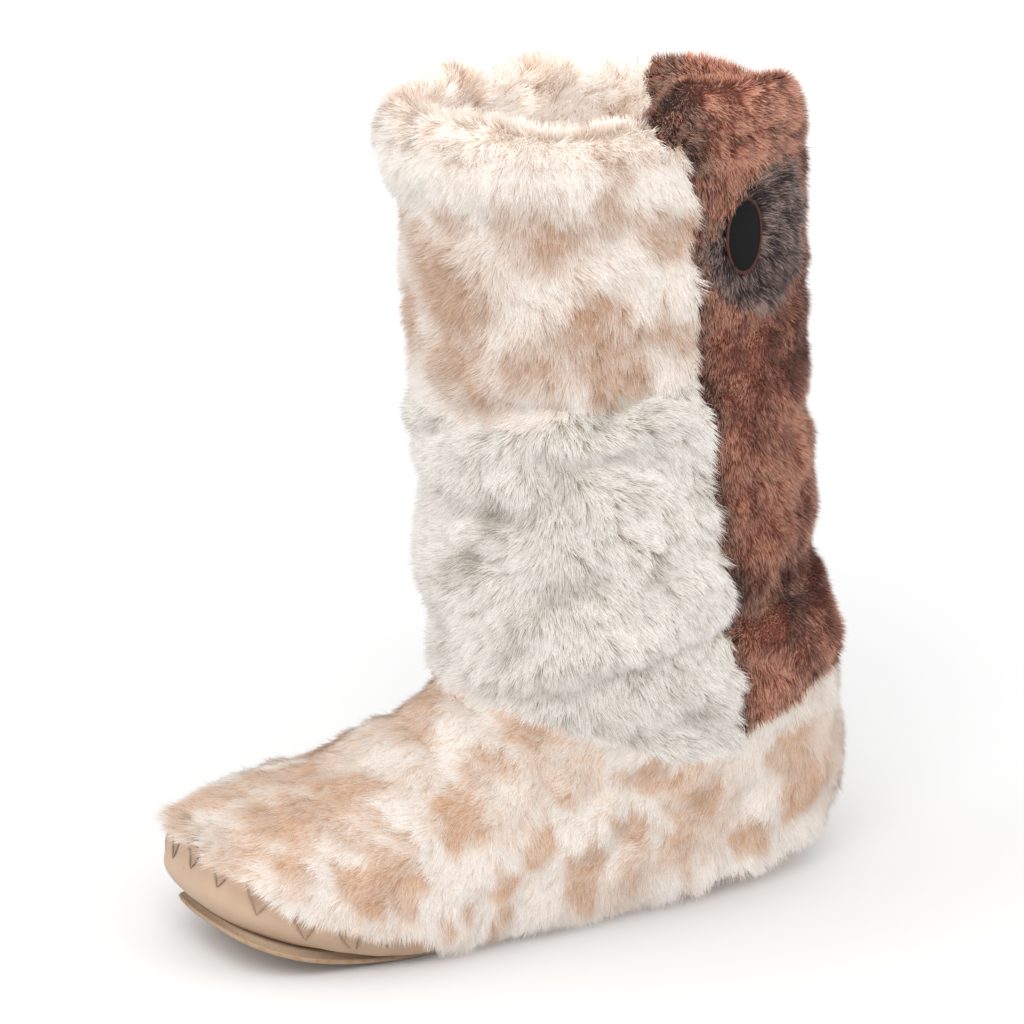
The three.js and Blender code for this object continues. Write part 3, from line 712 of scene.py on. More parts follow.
def parted(strength, back_share):
    """A lie that is down, and away to both sides of a parting at the front of the outer side."""
    def lie(point, angle):
        off = (angle - PARTED) / PARTED_HALF
        aside = strength * np.clip(off, -back_share, 1) * bell((angle - PARTED) / PARTED_REACH)
        turned = np.radians(angle)
        return np.stack([np.sin(turned) * aside, np.cos(turned) * aside, -np.ones_like(aside)], -1)
    return lie


def lie_back(point, angle):
    """Down and forwards."""
    return np.stack([BACK_FORWARD + 0 * angle, 0 * angle, -np.ones_like(angle)], -1)


def lie_patch(point, angle):
    """Away from the badge, and down."""
    centre, out, across, up = BADGE_SEAT
    away = point - centre
    sideways = (away @ across)[..., None] * across
    upwards = (away @ up)[..., None] * up
    return PATCH_AWAY * unit(sideways + upwards) - PATCH_DOWN * up


LIE = by_fur(lie_foot, parted(1.8, 0.5), parted(1.0, 0.35), lie_back, lie_patch)
SLOTS = by_fur("spotted_fur", "frost_fur", "cream_fur", "russet_fur", "charcoal_fur")
NODES = by_fur("fur_foot", "fur_shaft_front", "fur_shaft_top", "fur_shaft_back", "fur_patch")

# Hairs of each fur: how many, how long, how far they stand off the skin in degrees, how much locks and single
# hairs differ in tone, how far a hair's flat side turns, the share that stray, and painted light inside the
# collar.
# Each hair is drawn wider than it is and stands for several.
HAIRS = by_fur(290000, 176000, 190000, 180000, 16000)
LENGTH = by_fur(6.6, 7.6, 7.6, 5.8, 6.2)
LOFT = by_fur(32.0, 36.0, 36.0, 45.0, 30.0)
MOTTLE = by_fur(0.06, 0.12, 0.06, 0.16, 0.25)
STREAK = by_fur(0.16, 0.2, 0.18, 0.36, 0.6)
TWIST = by_fur(0.15, 0.5, 0.3, 0.5, 0.5)
GUARD_SHARE = by_fur(0.02, 0.06, 0.06, 0.12, 0.05)
INSIDE_PAINTED_LIGHT = by_fur(0.0, 0.0, 1.0, 0.75, 0.0)
HAIR_WIDTH = 0.4
LOCK_SPACING = 4.0
GUARD_LOFT = 26.0
CREST_LOFT = 60.0
TOE_LOFT = 70.0
VAMP_FLATTER = 18.0
FLOOR_CLEAR = 2.0
LEVELS = np.array([24, 30])
SHADE_RANGE = (0.7, 2.2)
SKIN_PLACE = 0.3
SKIN_THICK = 1.5
CELL = np.array([[0.06, 0.06], [0.94, 0.06], [0.5, 0.94]])

# Zones of the pile, as the two values that each fades in between: height, length along the foot, or slope
CREST_ZONE = (276, 296)
TOE_ZONE = (182, 194)
VAMP_ZONE = (60, 115)
VAMP_SLOPE = (0.1, 0.6)
HEM_ZONE = (15, 4)
HEM_END = (150, 110)
SWIRLS = ((0.3, 62, 91), (0.22, 23, 92))

# How far locks and hairs differ: lean in degrees, and length; and how far hairs are drawn to their lock's tip
LOCK_LEAN = 4.0
LOCK_LENGTHS = (0.93, 1.07)
HAIR_LEAN = 9.0
HAIR_LENGTHS = (0.5, 1.06)
HAIR_WIDTHS = (0.7, 1.3)
PULLS = (0.0, 0.32)
LOCK_SPREAD = 0.35

# Changes of length at the crest, hem and toe, of spot tone inside the collar, and of shade by lock and hair;
# and how far light falls by a hair's own turn, lying and standing
CREST_SHORTER, HEM_LONGER, TOE_LONGER = 0.05, 0.3, 0.4
INSIDE_FAINTER = 0.2
LOCK_SHADE, HAIR_SHADE = 0.025, 0.03
LYING_TURN, STANDING_TURN, STANDING = 0.2, 0.4, (0.7, 0.95)


def round_angles(count):
    """Even angles once round, in degrees."""
    return np.arange(count) * 360 / count


def touched(points):
    """Cells of a closed grid with a marked point at any corner."""
    after = np.roll(points, -1, 0)
    return points[:, :-1] | points[:, 1:] | after[:, :-1] | after[:, 1:]


def middles(points):
    """Middles of a closed grid's cells."""
    after = np.roll(points, -1, 0)
    return (points[:, :-1] + points[:, 1:] + after[:, :-1] + after[:, 1:]) / 4


def cell_areas(points):
    """Area of each cell of a closed grid, from its two sides at one corner."""
    side = (np.roll(points, -1, 0) - points)[:, :-1]
    along = points[:, 1:] - points[:, :-1]
    return np.linalg.norm(np.cross(side, along), axis=-1)


def scatter_on(weights, count):
    """Random places on a closed grid, by a weight for each cell: the cell, and shares along its sides."""
    share = weights.ravel() / weights.sum()
    i, j = np.unravel_index(rng.choice(share.size, count, p=share), weights.shape)
    return i, j, rng.random((count, 1)), rng.random((count, 1))


def at_places(field, places):
    """Values of a grid at places on it, straight between its points."""
    i, j, u, v = places
    after = (i + 1) % len(field)
    near = field[i, j] * (1 - v) + field[i, j + 1] * v
    return near * (1 - u) + (field[after, j] * (1 - v) + field[after, j + 1] * v) * u


def nearest(points, centres, block=8000):
    """Index of the nearest centre to each point, by whole blocks of distances."""
    points, centres = points.astype(np.float32), centres.astype(np.float32)
    found = np.empty(len(points), int)
    square = (centres ** 2).sum(-1)
    for start in range(0, len(points), block):
        near = slice(start, start + block)
        found[near] = np.argmin(square - 2 * points[near] @ centres.T, axis=1)
    return found


def hair_field(panel, point, out, ahead, inside):
    """What a hair takes from its place: point, outward, lie, loft, length, spot tone and shade.

    Inside the collar the spots are fainter and the pile is painted paler: painted light for light coming
    through it.
    """
    ahead = unit(ahead - out * (ahead * out).sum(-1, keepdims=True))
    swirl = ripples(point, *SWIRLS)[..., None]
    ahead = ahead * np.cos(swirl) + np.cross(out, ahead) * np.sin(swirl)
    x, z = point[..., 0], point[..., 2]
    crest = ease(*CREST_ZONE, z)
    toe = ease(*TOE_ZONE, x)
    vamp = ease(*VAMP_ZONE, x) * ease(*VAMP_SLOPE, out[..., 2])
    loft = LOFT[panel] + (CREST_LOFT - LOFT[panel]) * crest + (TOE_LOFT - LOFT[panel]) * toe
    loft = loft - VAMP_FLATTER * vamp * (1 - toe)
    hem = ease(*HEM_ZONE, z - line_at(HEM, x)) * ease(*HEM_END, x)
    length = LENGTH[panel] * (1 - CREST_SHORTER * crest + HEM_LONGER * hem + TOE_LONGER * toe)
    tone = TONE[panel](point) * (1 - INSIDE_FAINTER * inside)
    single = np.stack([loft, length, tone, shade_of(panel, point) + INSIDE_PAINTED_LIGHT[panel] * inside], -1)
    return np.concatenate([point, out, ahead, single], -1)


def tip_of(places, turned, leant, longer):
    """A hair's tip: its lie turned about the outward direction, then raised off the skin by its loft."""
    point, out, ahead = places[:, :3], places[:, 3:6], places[:, 6:9]
    turned = turned[:, None]
    ahead = ahead * np.cos(turned) + np.cross(out, ahead) * np.sin(turned)
    loft = np.radians(places[:, 9] + leant)[:, None]
    return point + (ahead * np.cos(loft) + out * np.sin(loft)) * (places[:, 10] * longer)[:, None]


def grow_hairs(field, weights, count, unruly, guard):
    """Hairs scattered over a field, each drawn part of the way to the tip of the lock that it belongs to.

    Gives rows of root, outward, tip, tone, shade and the lock's own tint.
    """
    locks = int(weights.sum() / LOCK_SPACING ** 2)
    lock = at_places(field, scatter_on(weights, locks))
    hair = at_places(field, scatter_on(weights, count))
    owner = nearest(hair[:, :3], lock[:, :3])
    turned = rng.normal(0, unruly, locks)
    leant = rng.normal(0, LOCK_LEAN, locks)
    longer = rng.uniform(*LOCK_LENGTHS, locks)
    tint = rng.normal(0, 1, locks)
    lock_tip = tip_of(lock, turned, leant, longer)
    stray = GUARD_LOFT * (rng.random(count) < guard)
    own_turn = turned[owner] + rng.normal(0, unruly, count)
    own_lean = leant[owner] + rng.normal(0, HAIR_LEAN, count) + stray
    tip = tip_of(hair, own_turn, own_lean, longer[owner] * rng.uniform(*HAIR_LENGTHS, count))
    pull = rng.uniform(*PULLS, (count, 1))
    tip += pull * (lock_tip[owner] + LOCK_SPREAD * (hair[:, :3] - lock[owner, :3]) - tip)
    tip[:, 2] = np.maximum(tip[:, 2], FLOOR_CLEAR)
    return np.concatenate([hair[:, :6], tip, hair[:, 11:13], tint[owner][:, None]], 1)


def hair_piece(name, panel, hairs):
    """One mesh of sliver-shaped hairs: a short side at the root and a pointed tip."""
    count = len(hairs)
    root, normal, tip = hairs[:, :3], hairs[:, 3:6], hairs[:, 6:9]
    tone, shade, tint = hairs[:, 9:].T
    along = unit(tip - root)
    flat = np.cross(along, normal)
    aside = unit(flat + rng.normal(0, TWIST[panel], (count, 1)) * np.cross(flat, along))
    half = 0.5 * HAIR_WIDTH * rng.uniform(*HAIR_WIDTHS, (count, 1))
    points = np.stack([root - aside * half, root + aside * half, tip], 1).reshape(-1, 3)
    faces = np.arange(3 * count).reshape(-1, 3)
    piece = put_mesh(name, points, faces, FUR[panel])
    # The hairs cast no shadow and block no light: their deep roots and the skin carry painted shade instead
    piece.visible_shadow = False
    piece.visible_diffuse = False

    # Colour: place along the hair, spot tone and shade, the last two in even steps shared by many hairs
    tone = np.clip(tone + MOTTLE[panel] * tint + rng.normal(0, STREAK[panel], count), 0, 1)
    shade = shade * (1 + LOCK_SHADE * tint + rng.normal(0, HAIR_SHADE, count))
    low, high = SHADE_RANGE
    steps = np.stack([tone, np.clip((shade - low) / (high - low), 0, 1)], -1)
    steps = np.round(steps * (LEVELS - 1))
    colour = np.ones((count, 3, 4), np.float32)
    colour[:, :, 0] = (0.0, 0.0, 1.0)
    colour[:, :, 1:3] = (steps / (LEVELS - 1) * (1, high - low) + (0, low))[:, None]
    put_layer(piece, "hair", "FLOAT_COLOR", "color", colour)

    # Map for the bake: hairs of one tone and shade share a cell
    uv = piece.data.uv_layers.new(name="OFBake")
    uv.uv.foreach_set("vector", ((steps[:, None] + CELL) / LEVELS).astype(np.float32).ravel())

    # Light falls on lying pile as on the skin under it, and on standing hairs by each one's own turn
    own = unit(np.cross(aside, along))
    own *= np.sign((own * normal).sum(-1, keepdims=True))
    stands = LYING_TURN + STANDING_TURN * ease(*STANDING, (along * normal).sum(-1, keepdims=True))
    soft = unit((1 - stands) * normal + stands * own)
    piece.data.normals_split_custom_set_from_vertices(np.repeat(soft, 3, 0))
    return attach(piece, SLOTS[panel], NODES[panel])


def skin_piece(panel, sheets):
    """Undercoat: the skin under the hairs, coloured as their lower part, which is partly painted shade."""
    starts = np.cumsum([0] + [len(points) for points, _ in sheets])
    points = np.concatenate([points for points, _ in sheets])
    faces = np.concatenate([quads + start for (_, quads), start in zip(sheets, starts)])
    piece = put_mesh(f"{NODES[panel]}_skin", points, faces, FUR[panel])
    colour = np.ones((len(points), 4), np.float32)
    colour[:, 0] = SKIN_PLACE
    colour[:, 1] = TONE[panel](points)
    colour[:, 2] = shade_of(panel, points)
    put_layer(piece, "hair", "FLOAT_COLOR", "color", colour)
    return attach(thicken(piece, SKIN_THICK), SLOTS[panel], NODES[panel])


BADGE_CLEAR = 0.8
ROLL_WANDER = (1.5, 17, 7)
FIRST_STATION = 0.05


def belongs(panel, bare):
    """Whether a place on the hide carries this fur; the patch keeps clear of its badge."""
    inside = panel_of(bare) == PANELS.index(panel)
    return inside & (from_badge(bare) > BADGE_CLEAR) if panel == "patch" else inside


def body_sheet(panel, surface, rows, columns):
    """The skin's grid of angles and stations, its points, and which of its cells the panel has."""
    a, b = grid_over(round_angles(rows), np.linspace(FIRST_STATION, ROLL_STATION, columns))
    return a, b, surface(a, b), belongs(panel, middles(hide(a, b)))


def roll_sheet(panel, surface, rows, columns):
    """The collar's roll on a grid, split between the furs where their seam meets it."""
    angles = round_angles(rows)
    a, b = grid_over(angles, np.linspace(0, 2, columns))
    points = surface(a, b)
    at = angles[:, None] + 180 / rows + ripples(middles(points), ROLL_WANDER)
    at = at - np.where(at < 180, SEAM_SWEEP * ease(*SWEEP_OVER, middles(b)), 0)
    return a, b, points, belongs(panel, hide(at, np.full(at.shape, ROLL_STATION)))


# Grids of the skins and of the hairs' places, how far hairs turn from their lie, and where the painted light
# starts
BODY_GRIDS = ((100, 110), (300, 360))
ROLL_GRIDS = ((100, 17), (300, 61))
BODY_UNRULY = 0.2
ROLL_UNRULY = 0.5
CREST_LIGHT = (0.05, 0.7)


def make_fur(panel):
    """One fur: its skin, and hairs scattered over it by area."""
    body = fur_body(PILE[panel])
    roll = fur_roll(PILE[panel])

    def over_back(point, a, b):
        return roll(a, b - ALONG_STEP) - roll(a, b + ALONG_STEP)

    def body_lie(point, a, b):
        return LIE[panel](point, a)

    def nowhere(b):
        return 0 * b

    # Painted light inside the collar, rising past the crest
    def past_crest(b):
        return ease(*CREST_LIGHT, b)

    kinds = [(body, body_sheet, *BODY_GRIDS, body_lie, BODY_UNRULY, nowhere)]
    if panel in ("top", "back"):
        kinds.append((roll, roll_sheet, *ROLL_GRIDS, over_back, ROLL_UNRULY, past_crest))
    sheets, fields = [], []
    for surface, sheet, coarse, fine, lie, unruly, inside in kinds:
        _, _, points, mine = sheet(panel, surface, *coarse)
        sheets.append(cut_sheet(points, mine))
        a, b, points, mine = sheet(panel, surface, *fine)
        point, out = frame_on(surface, a, b)
        field = hair_field(panel, point, out, lie(point, a, b), inside(b))
        fields.append((field, cell_areas(points) * mine, unruly))
    skin_piece(panel, sheets)
    whole = sum(weights.sum() for _, weights, _ in fields)
    hairs = np.concatenate([
        grow_hairs(field, weights, int(HAIRS[panel] * weights.sum() / whole), unruly, GUARD_SHARE[panel])
        for field, weights, unruly in fields
    ])
    if panel == "foot":
        outer = hairs[:, 1] > 0
        hair_piece("fur_foot_outer_pile", panel, hairs[outer])
        hair_piece("fur_foot_inner_pile", panel, hairs[~outer])
    else:
        hair_piece(NODES[panel] + "_pile", panel, hairs)


for each in PANELS:
    make_fur(each)


# Finishes of the sole, lining and badge
PER_MM = 1 / MM


def two_shades(name, size, detail, first, second):
    """A new material whose colour runs between two shades with soft noise of a size in mm.

    Gives the material, its tree and shader, and the sockets of place, noise and colour.
    """
    material, tree, shader = new_material(name)
    place = add(tree, "ShaderNodeTexCoord").outputs["Object"]
    noise = add(tree, "ShaderNodeTexNoise", {"Vector": place, "Scale": PER_MM / size, "Detail": detail})
    share = noise.outputs["Fac"]
    dye = add(tree, "ShaderNodeMix", {0: share, 6: srgb(first), 7: srgb(second)}, data_type="RGBA")
    tree.links.new(dye.outputs[2], shader.inputs["Base Color"])
    return material, tree, shader, place, share, dye.outputs[2]


def leather(name, colour, deep, tuck_shade, roughness, shine):
    """Smooth chrome-tanned leather: fine grain, cloudy dye, and painted shade where it is gathered
    (tuck_shade).

    The grain is drawn 1.1 mm wide, coarser than it is, so that it shows.
    """
    material, tree, shader, place, _, dye = two_shades(name, 14, 4.0, colour, deep)
    tuck_shade_share = add(tree, "ShaderNodeAttribute", attribute_name="tuck_shade").outputs["Fac"]
    dyed = add(tree, "ShaderNodeMix", {0: tuck_shade_share, 6: dye, 7: srgb(tuck_shade)}, data_type="RGBA")
    tree.links.new(dyed.outputs[2], shader.inputs["Base Color"])
    grain = add(tree, "ShaderNodeTexVoronoi", {"Vector": place, "Scale": PER_MM / 1.1}).outputs["Distance"]
    bump = add(tree, "ShaderNodeBump", {"Height": grain, "Strength": 0.18, "Distance": 0.2 * MM})
    tree.links.new(bump.outputs["Normal"], shader.inputs["Normal"])
    shader.inputs["Roughness"].default_value = roughness
    shader.inputs["Specular IOR Level"].default_value = shine
    return material


def fleece(name, colour, deep):
    """Short knitted fleece: curls of about 2 mm, dull and soft."""
    material, tree, shader, _, curl, _ = two_shades(name, 2.4, 3.0, deep, colour)
    bump = add(tree, "ShaderNodeBump", {"Height": curl, "Strength": 0.6, "Distance": 1.2 * MM})
    tree.links.new(bump.outputs["Normal"], shader.inputs["Normal"])
    shader.inputs["Roughness"].default_value = 0.95
    shader.inputs["Sheen Weight"].default_value = 0.3
    return material


def tread_rubber(name, colour, deep):
    """Crepe-like rubber sheet: matt, with fine crumbs of about 1 mm."""
    material, tree, shader, _, crumb, _ = two_shades(name, 1.3, 5.0, deep, colour)
    bump = add(tree, "ShaderNodeBump", {"Height": crumb, "Strength": 0.35, "Distance": 0.4 * MM})
    tree.links.new(bump.outputs["Normal"], shader.inputs["Normal"])
    shader.inputs["Roughness"].default_value = 0.8
    return material


def thread(name, colour, deep):
    """Waxed polyester thread: flecks of about 0.6 mm where its plies catch the light."""
    material, _, shader, _, _, _ = two_shades(name, 0.6, 2.0, deep, colour)
    shader.inputs["Roughness"].default_value = 0.6
    return material


# The third colour of each leather is its painted shade in the gathers
TAN_LEATHER = leather("tan_chrome_leather", "#BAA088", "#AE947D", "#8A6B56", 0.48, 0.3)
BADGE_LEATHER = leather("black_badge_leather", "#121011", "#0D0C0D", "#0A0909", 0.7, 0.12)
RIM_LEATHER = leather("brown_rim_leather", "#4E2B20", "#40231A", "#2E1913", 0.6, 0.2)
LINING = fleece("cream_fleece_lining", "#EFE4D6", "#D9C8B4")
TREAD = tread_rubber("beige_crepe_rubber", "#AB937B", "#947C65")
GREY_THREAD = thread("waxed_grey_brown_thread", "#9A8573", "#7D6A5B")
ORANGE_THREAD = thread("waxed_ochre_thread", "#BF8A4A", "#9C6A34")


# Sole
BALL_X = TOE_TIP - 74
ARCH_X = 52.0
ARCH_HALF = 40.0
ARCH_LIFT = 1.8
SPRING_SHARE = 0.72
SPRING_CURVE = 2.2


def sole_lift(x):
    """The sole's middle line: a sprung toe and a low arch."""
    spring = np.clip((x - BALL_X) / (TOE_TIP - BALL_X), 0, 1)
    arch = np.clip((x - ARCH_X) / ARCH_HALF, -1, 1)
    return SPRING_SHARE * SPRING * spring ** SPRING_CURVE + ARCH_LIFT / 2 * (1 + np.cos(np.pi * arch))


TOE_CENTRE = (112.0, -2.0)
STITCH_STEP = 15.8
STITCH_START = 1.5
STITCH_RISE = 3.0
STITCH_DROP = 6.8
STITCH_TOP = 0.3
STITCH_LEANS = (-0.26, 0.42)
STITCHES_EACH_WAY = 9
LEG_KNOTS = 6
LEG_CLEAR = 0.15
LEG_BOW = 0.35
THREAD_RADIUS = 0.3

# The tray's sag beside the ball, its belly at the toe and its gathers: size, middle and half width, and the
# zones that each fades in between
SAG, SAG_X, SAG_HALF = 4.2, 132.0, 40.0
SAG_SIDES, SAG_LEVELS = (33, 42), (20, 7)
BELLY, BELLY_UNDER, BELLY_HALF = 1.6, 15.0, 5.0
BELLY_ZONE = (140, 175)
GATHER, GATHER_UNDER, GATHER_HALF = 0.8, 1.0, 5.5
GATHER_ZONE = (60, 110)
# How dark the painted shade in the gathers is: least, and more in each tuck's hollow
TUCK_SHADE_LEAST, TUCK_SHADE_MORE = 0.3, 0.4
TRAY_OUT = np.array([1, 1, 0.3])
TRAY_ROWS = 200
TRAY_STATIONS = np.concatenate([[0], np.linspace(0.04, 3, 70), np.linspace(3.1, 10.4, 49)])
TRAY_NEAR = 2.0
TOE_STATION = 5.5

# Depth under the tray's rim at which the fur ends, by length along the rim from the toe tip
FUR_END = ((0, 0.5), (20, 3), (36, 7), (50, 10.5), (66, 13), (85, 15), (105, 17), (180, 18))


def lengths_along(path):
    """Length along a path from its start to each of its points."""
    return np.concatenate([[0], np.cumsum(np.linalg.norm(np.diff(path, axis=0), axis=1))])


def round_toe(point):
    """Length along the tray's rim from the toe tip, outer side positive: an arc, then straight."""
    ahead, aside = (point[..., k] - TOE_CENTRE[k] for k in (0, 1))
    bearing = np.arctan2(aside, np.maximum(ahead, 0))
    angles = np.radians(np.linspace(-90, 90, 181))
    stations = np.linspace(0, TOE_STATION, SEAT_STEPS)
    outer, inner = (hide(np.full(SEAT_STEPS, side), stations)[:, :2] for side in (90.0, 270.0))
    outline = np.concatenate([inner[::-1], outer])
    seen = np.arctan2(outline[:, 1] - TOE_CENTRE[1], outline[:, 0] - TOE_CENTRE[0])
    walked = lengths_along(outline)
    length = np.interp(angles, seen, walked) - np.interp(0, seen, walked)
    straight = np.maximum(-ahead, 0) * np.sign(point[..., 1])
    return np.interp(bearing, angles, length) + straight


def make_tray():
    """Leather tray: the hide's form one wall further out, cut along its rim, tucked in at each stitch.

    Beside the ball it sags over the edge of the outsole.
    """
    a, b = grid_over(round_angles(TRAY_ROWS), TRAY_STATIONS)
    bare = hide(a, np.maximum(b, 0.02))
    points = bare + hide_normal(a, np.maximum(b, 0.04)) * (TRAY_WALL + GAP)
    points[:, 0] = points[:, 0].mean(0)
    x, y, z = np.moveaxis(points, -1, 0)
    rim = SEAT + TRAY_RISE + sole_lift(x)
    low = z < rim
    sag = SAG * bell((x - SAG_X) / SAG_HALF) * ease(*SAG_SIDES, np.abs(y)) * ease(*SAG_LEVELS, z)
    points[..., 2] = np.minimum(z, rim) - sag
    under = rim - points[..., 2]
    walked = round_toe(points)
    wave = np.cos(2 * np.pi * (walked - STITCH_START) / STITCH_STEP)
    below_fur = under - line_at(FUR_END, np.abs(walked)) - GATHER_UNDER
    gather = bell(below_fur / GATHER_HALF) * ease(*GATHER_ZONE, x)
    out = unit((points - bare) * TRAY_OUT)
    belly = BELLY * bell((under - BELLY_UNDER) / BELLY_HALF) * ease(*BELLY_ZONE, x)
    points += out * (belly - GATHER * gather * wave)[..., None]
    # Painted shade in the gathers below the fur, darkest in each tuck's hollow
    tuck_shade = gather * (TUCK_SHADE_LEAST + TUCK_SHADE_MORE * np.maximum(wave, 0) ** 2)
    flat, packed = cut_sheet(np.dstack([points, tuck_shade]), touched(low))
    piece = put_mesh("sole_tray_leather", flat[:, :3], packed, TAN_LEATHER)
    put_layer(piece, "tuck_shade", "FLOAT", "value", flat[:, 3])
    attach(thicken(piece, TRAY_WALL - 0.2), "tray_leather", "sole_tray")
    return points[low], walked[low], under[low], out[low]


def on_tray(tray, walked, under):
    """Place on the tray at a length along its rim and a depth under it: near points weighed by nearness."""
    points, lengths, depths, outs = tray
    near = np.hypot(lengths[None] - walked[:, None], depths[None] - under[:, None])
    weight = bell(near / TRAY_NEAR) + 1e-12
    weight /= weight.sum(1, keepdims=True)
    return weight @ points, unit(weight @ outs)


def make_stitches(tray):
    """Whip stitches: V shapes of thread from under the fur's edge to a line below it, each leg bowed."""
    corners = STITCH_START + np.arange(-STITCHES_EACH_WAY, STITCHES_EACH_WAY + 1) * STITCH_STEP
    share = np.linspace(0, 1, LEG_KNOTS)
    legs = []
    for lean in STITCH_LEANS:
        walked = corners[:, None] + lean * STITCH_STEP * (1 - share)
        end = line_at(FUR_END, np.abs(corners))[:, None]
        under = np.maximum(end - STITCH_RISE + (STITCH_RISE + STITCH_DROP) * share, STITCH_TOP)
        point, out = on_tray(tray, walked.ravel(), under.ravel())
        raised = LEG_CLEAR + LEG_BOW * np.sin(np.pi * np.tile(share, len(corners)))
        legs.append((point + out * raised[:, None]).reshape(len(corners), LEG_KNOTS, 3))
    points, faces = tubes(np.concatenate(legs), THREAD_RADIUS)
    attach(put_mesh("whip_stitches", points, faces, GREY_THREAD), "tray_leather")


# Outsole: rows of x and the half widths outer and inner, then rings of its edge as inset and height
OUTLINE = np.array([
    [-46, 0.5, 0.5], [-44.5, 8, 8], [-38, 17, 18], [-26, 24, 25], [0, 28, 29], [45, 31, 31], [90, 36, 36],
    [128, 37, 38], [155, 37, 38.5], [172, 36, 37.5], [184, 31, 33], [191, 22.5, 26], [194, 10, 15],
    [195, -3, 5],
])
OUTLINE_STEPS = 140
RINGS = ((14.0, 0.0), (1.2, 0.0), (0.3, 0.25), (0.0, 0.9), (0.15, 1.7), (0.7, 2.1), (2.2, 2.1),
         (2.6, OUTSOLE), (14.0, OUTSOLE))
SIDE_RING = 3
SPINE_ENDS = (-30, 150)
SPINE_Y = -1.5
SIDE_STITCH_UP = np.array([0, 0, 0.4])
SIDE_STITCH_PITCH = 6.5
SIDE_STITCH_STEPS = (4.5, 8)
SIDE_STITCH_LENGTHS = (1.2, 3.6)


def make_outsole():
    """Outsole: rings of its outline, from the underside round a soft edge to the top ledge, then inwards."""
    rows = smooth_through(OUTLINE, np.linspace(0, len(OUTLINE) - 1, OUTLINE_STEPS))
    outer = np.stack([rows[:, 0], rows[:, 1]], -1)
    inner = np.stack([rows[::-1, 0], -rows[::-1, 2]], -1)
    outline = np.concatenate([inner, outer])
    middle = np.stack([np.clip(outline[:, 0], *SPINE_ENDS), np.full(len(outline), SPINE_Y)], -1)
    inward = unit(middle - outline)
    points = []
    for inset, height in RINGS:
        plan = outline + inward * inset
        points.append(np.stack([plan[:, 0], plan[:, 1], height + sole_lift(plan[:, 0])], -1))
    points = np.stack(points, 1)
    count = len(outline)
    sides = grid_faces(count, len(RINGS)).reshape(-1, 4)
    half = count // 2
    across = np.arange(half - 1)
    ends = []
    for ring, flip in ((0, 1), (len(RINGS) - 1, -1)):
        quad = np.stack([across, across + 1, count - 2 - across, count - 1 - across], -1) * len(RINGS) + ring
        ends.append(quad[:, ::flip])
    piece = put_mesh("outsole_sheet", points.reshape(-1, 3), np.concatenate([sides, *ends]), TREAD)
    attach(piece, "outsole", "outsole")

    # Stitches lying along the side, some worn short
    side = points[:, SIDE_RING] + SIDE_STITCH_UP
    walked = lengths_along(side)
    starts = np.cumsum(rng.uniform(*SIDE_STITCH_STEPS, int(walked[-1] / SIDE_STITCH_PITCH)))
    at = starts[:, None] + rng.uniform(*SIDE_STITCH_LENGTHS, (len(starts), 1)) * np.linspace(0, 1, 4)
    paths = np.stack([np.interp(at, walked, side[:, k]) for k in range(3)], -1)
    points, faces = tubes(paths, THREAD_RADIUS)
    attach(put_mesh("outsole_stitches", points, faces, ORANGE_THREAD), "outsole")


LINING_TUCK = 2.0
LINING_ROWS = 90
LINING_STATIONS = np.linspace(FIRST_STATION, station_at(RIM), 96)


def make_lining():
    """Upper: the hide with its fleece lining, one wall open at the collar and over the insole."""
    points = hide(*grid_over(round_angles(LINING_ROWS), LINING_STATIONS))
    high = points[..., 2] > SEAT + INSOLE - LINING_TUCK + sole_lift(points[..., 0])
    piece = put_mesh("upper_lining", *cut_sheet(points, touched(high)), LINING)
    attach(thicken(piece, WALL), "lining_fleece", "upper")


BADGE_OUT = 5.4
BADGE_THICK = 1.6
BADGE_SIDES = 64
BADGE_CURVE = 70.0

# Rings of the badge as shares of its oval and heights, and the first and last ring of its rim
BADGE_PROFILE = ((0.0, 1.9), (0.5, 1.85), (0.88, 1.7), (0.9, 1.55), (0.915, 1.9), (0.95, 2.05),
                 (0.985, 1.85), (1.0, 1.3), (1.0, 0.0), (0.0, 0.0))
RIM_RINGS = (3, 6)


def make_badge():
    """Badge: a plain oval, its face a little crowned inside a raised rim, bent round the shaft."""
    centre, out, across, up = BADGE_SEAT
    spin = np.linspace(0, 2 * np.pi, BADGE_SIDES, endpoint=False)
    share, height = np.array(BADGE_PROFILE).T
    x = BADGE_HALF[0] * np.cos(spin)[:, None] * share
    z = BADGE_HALF[1] * np.sin(spin)[:, None] * share
    depth = BADGE_OUT - BADGE_THICK + height - x * x / (2 * BADGE_CURVE)
    points = centre + x[..., None] * across + z[..., None] * up + depth[..., None] * out
    faces = grid_faces(BADGE_SIDES, len(share)).reshape(-1, 4)[:, ::-1]
    piece = put_mesh("badge_oval", points.reshape(-1, 3), faces, BADGE_LEATHER)
    piece.data.materials.append(RIM_LEATHER)
    ring = np.tile(np.arange(len(share) - 1), BADGE_SIDES)
    on_rim = (ring >= RIM_RINGS[0]) & (ring <= RIM_RINGS[1])
    piece.data.polygons.foreach_set("material_index", on_rim.astype(np.int32))
    attach(piece, "badge_leather", "badge")


tray_places = make_tray()
make_stitches(tray_places)
make_outsole()
make_lining()
make_badge()
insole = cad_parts["insole"]
insole.data.materials.clear()
insole.data.materials.append(LINING)


# Stage: floor, light and camera
PAPER_FADE = 1600.0


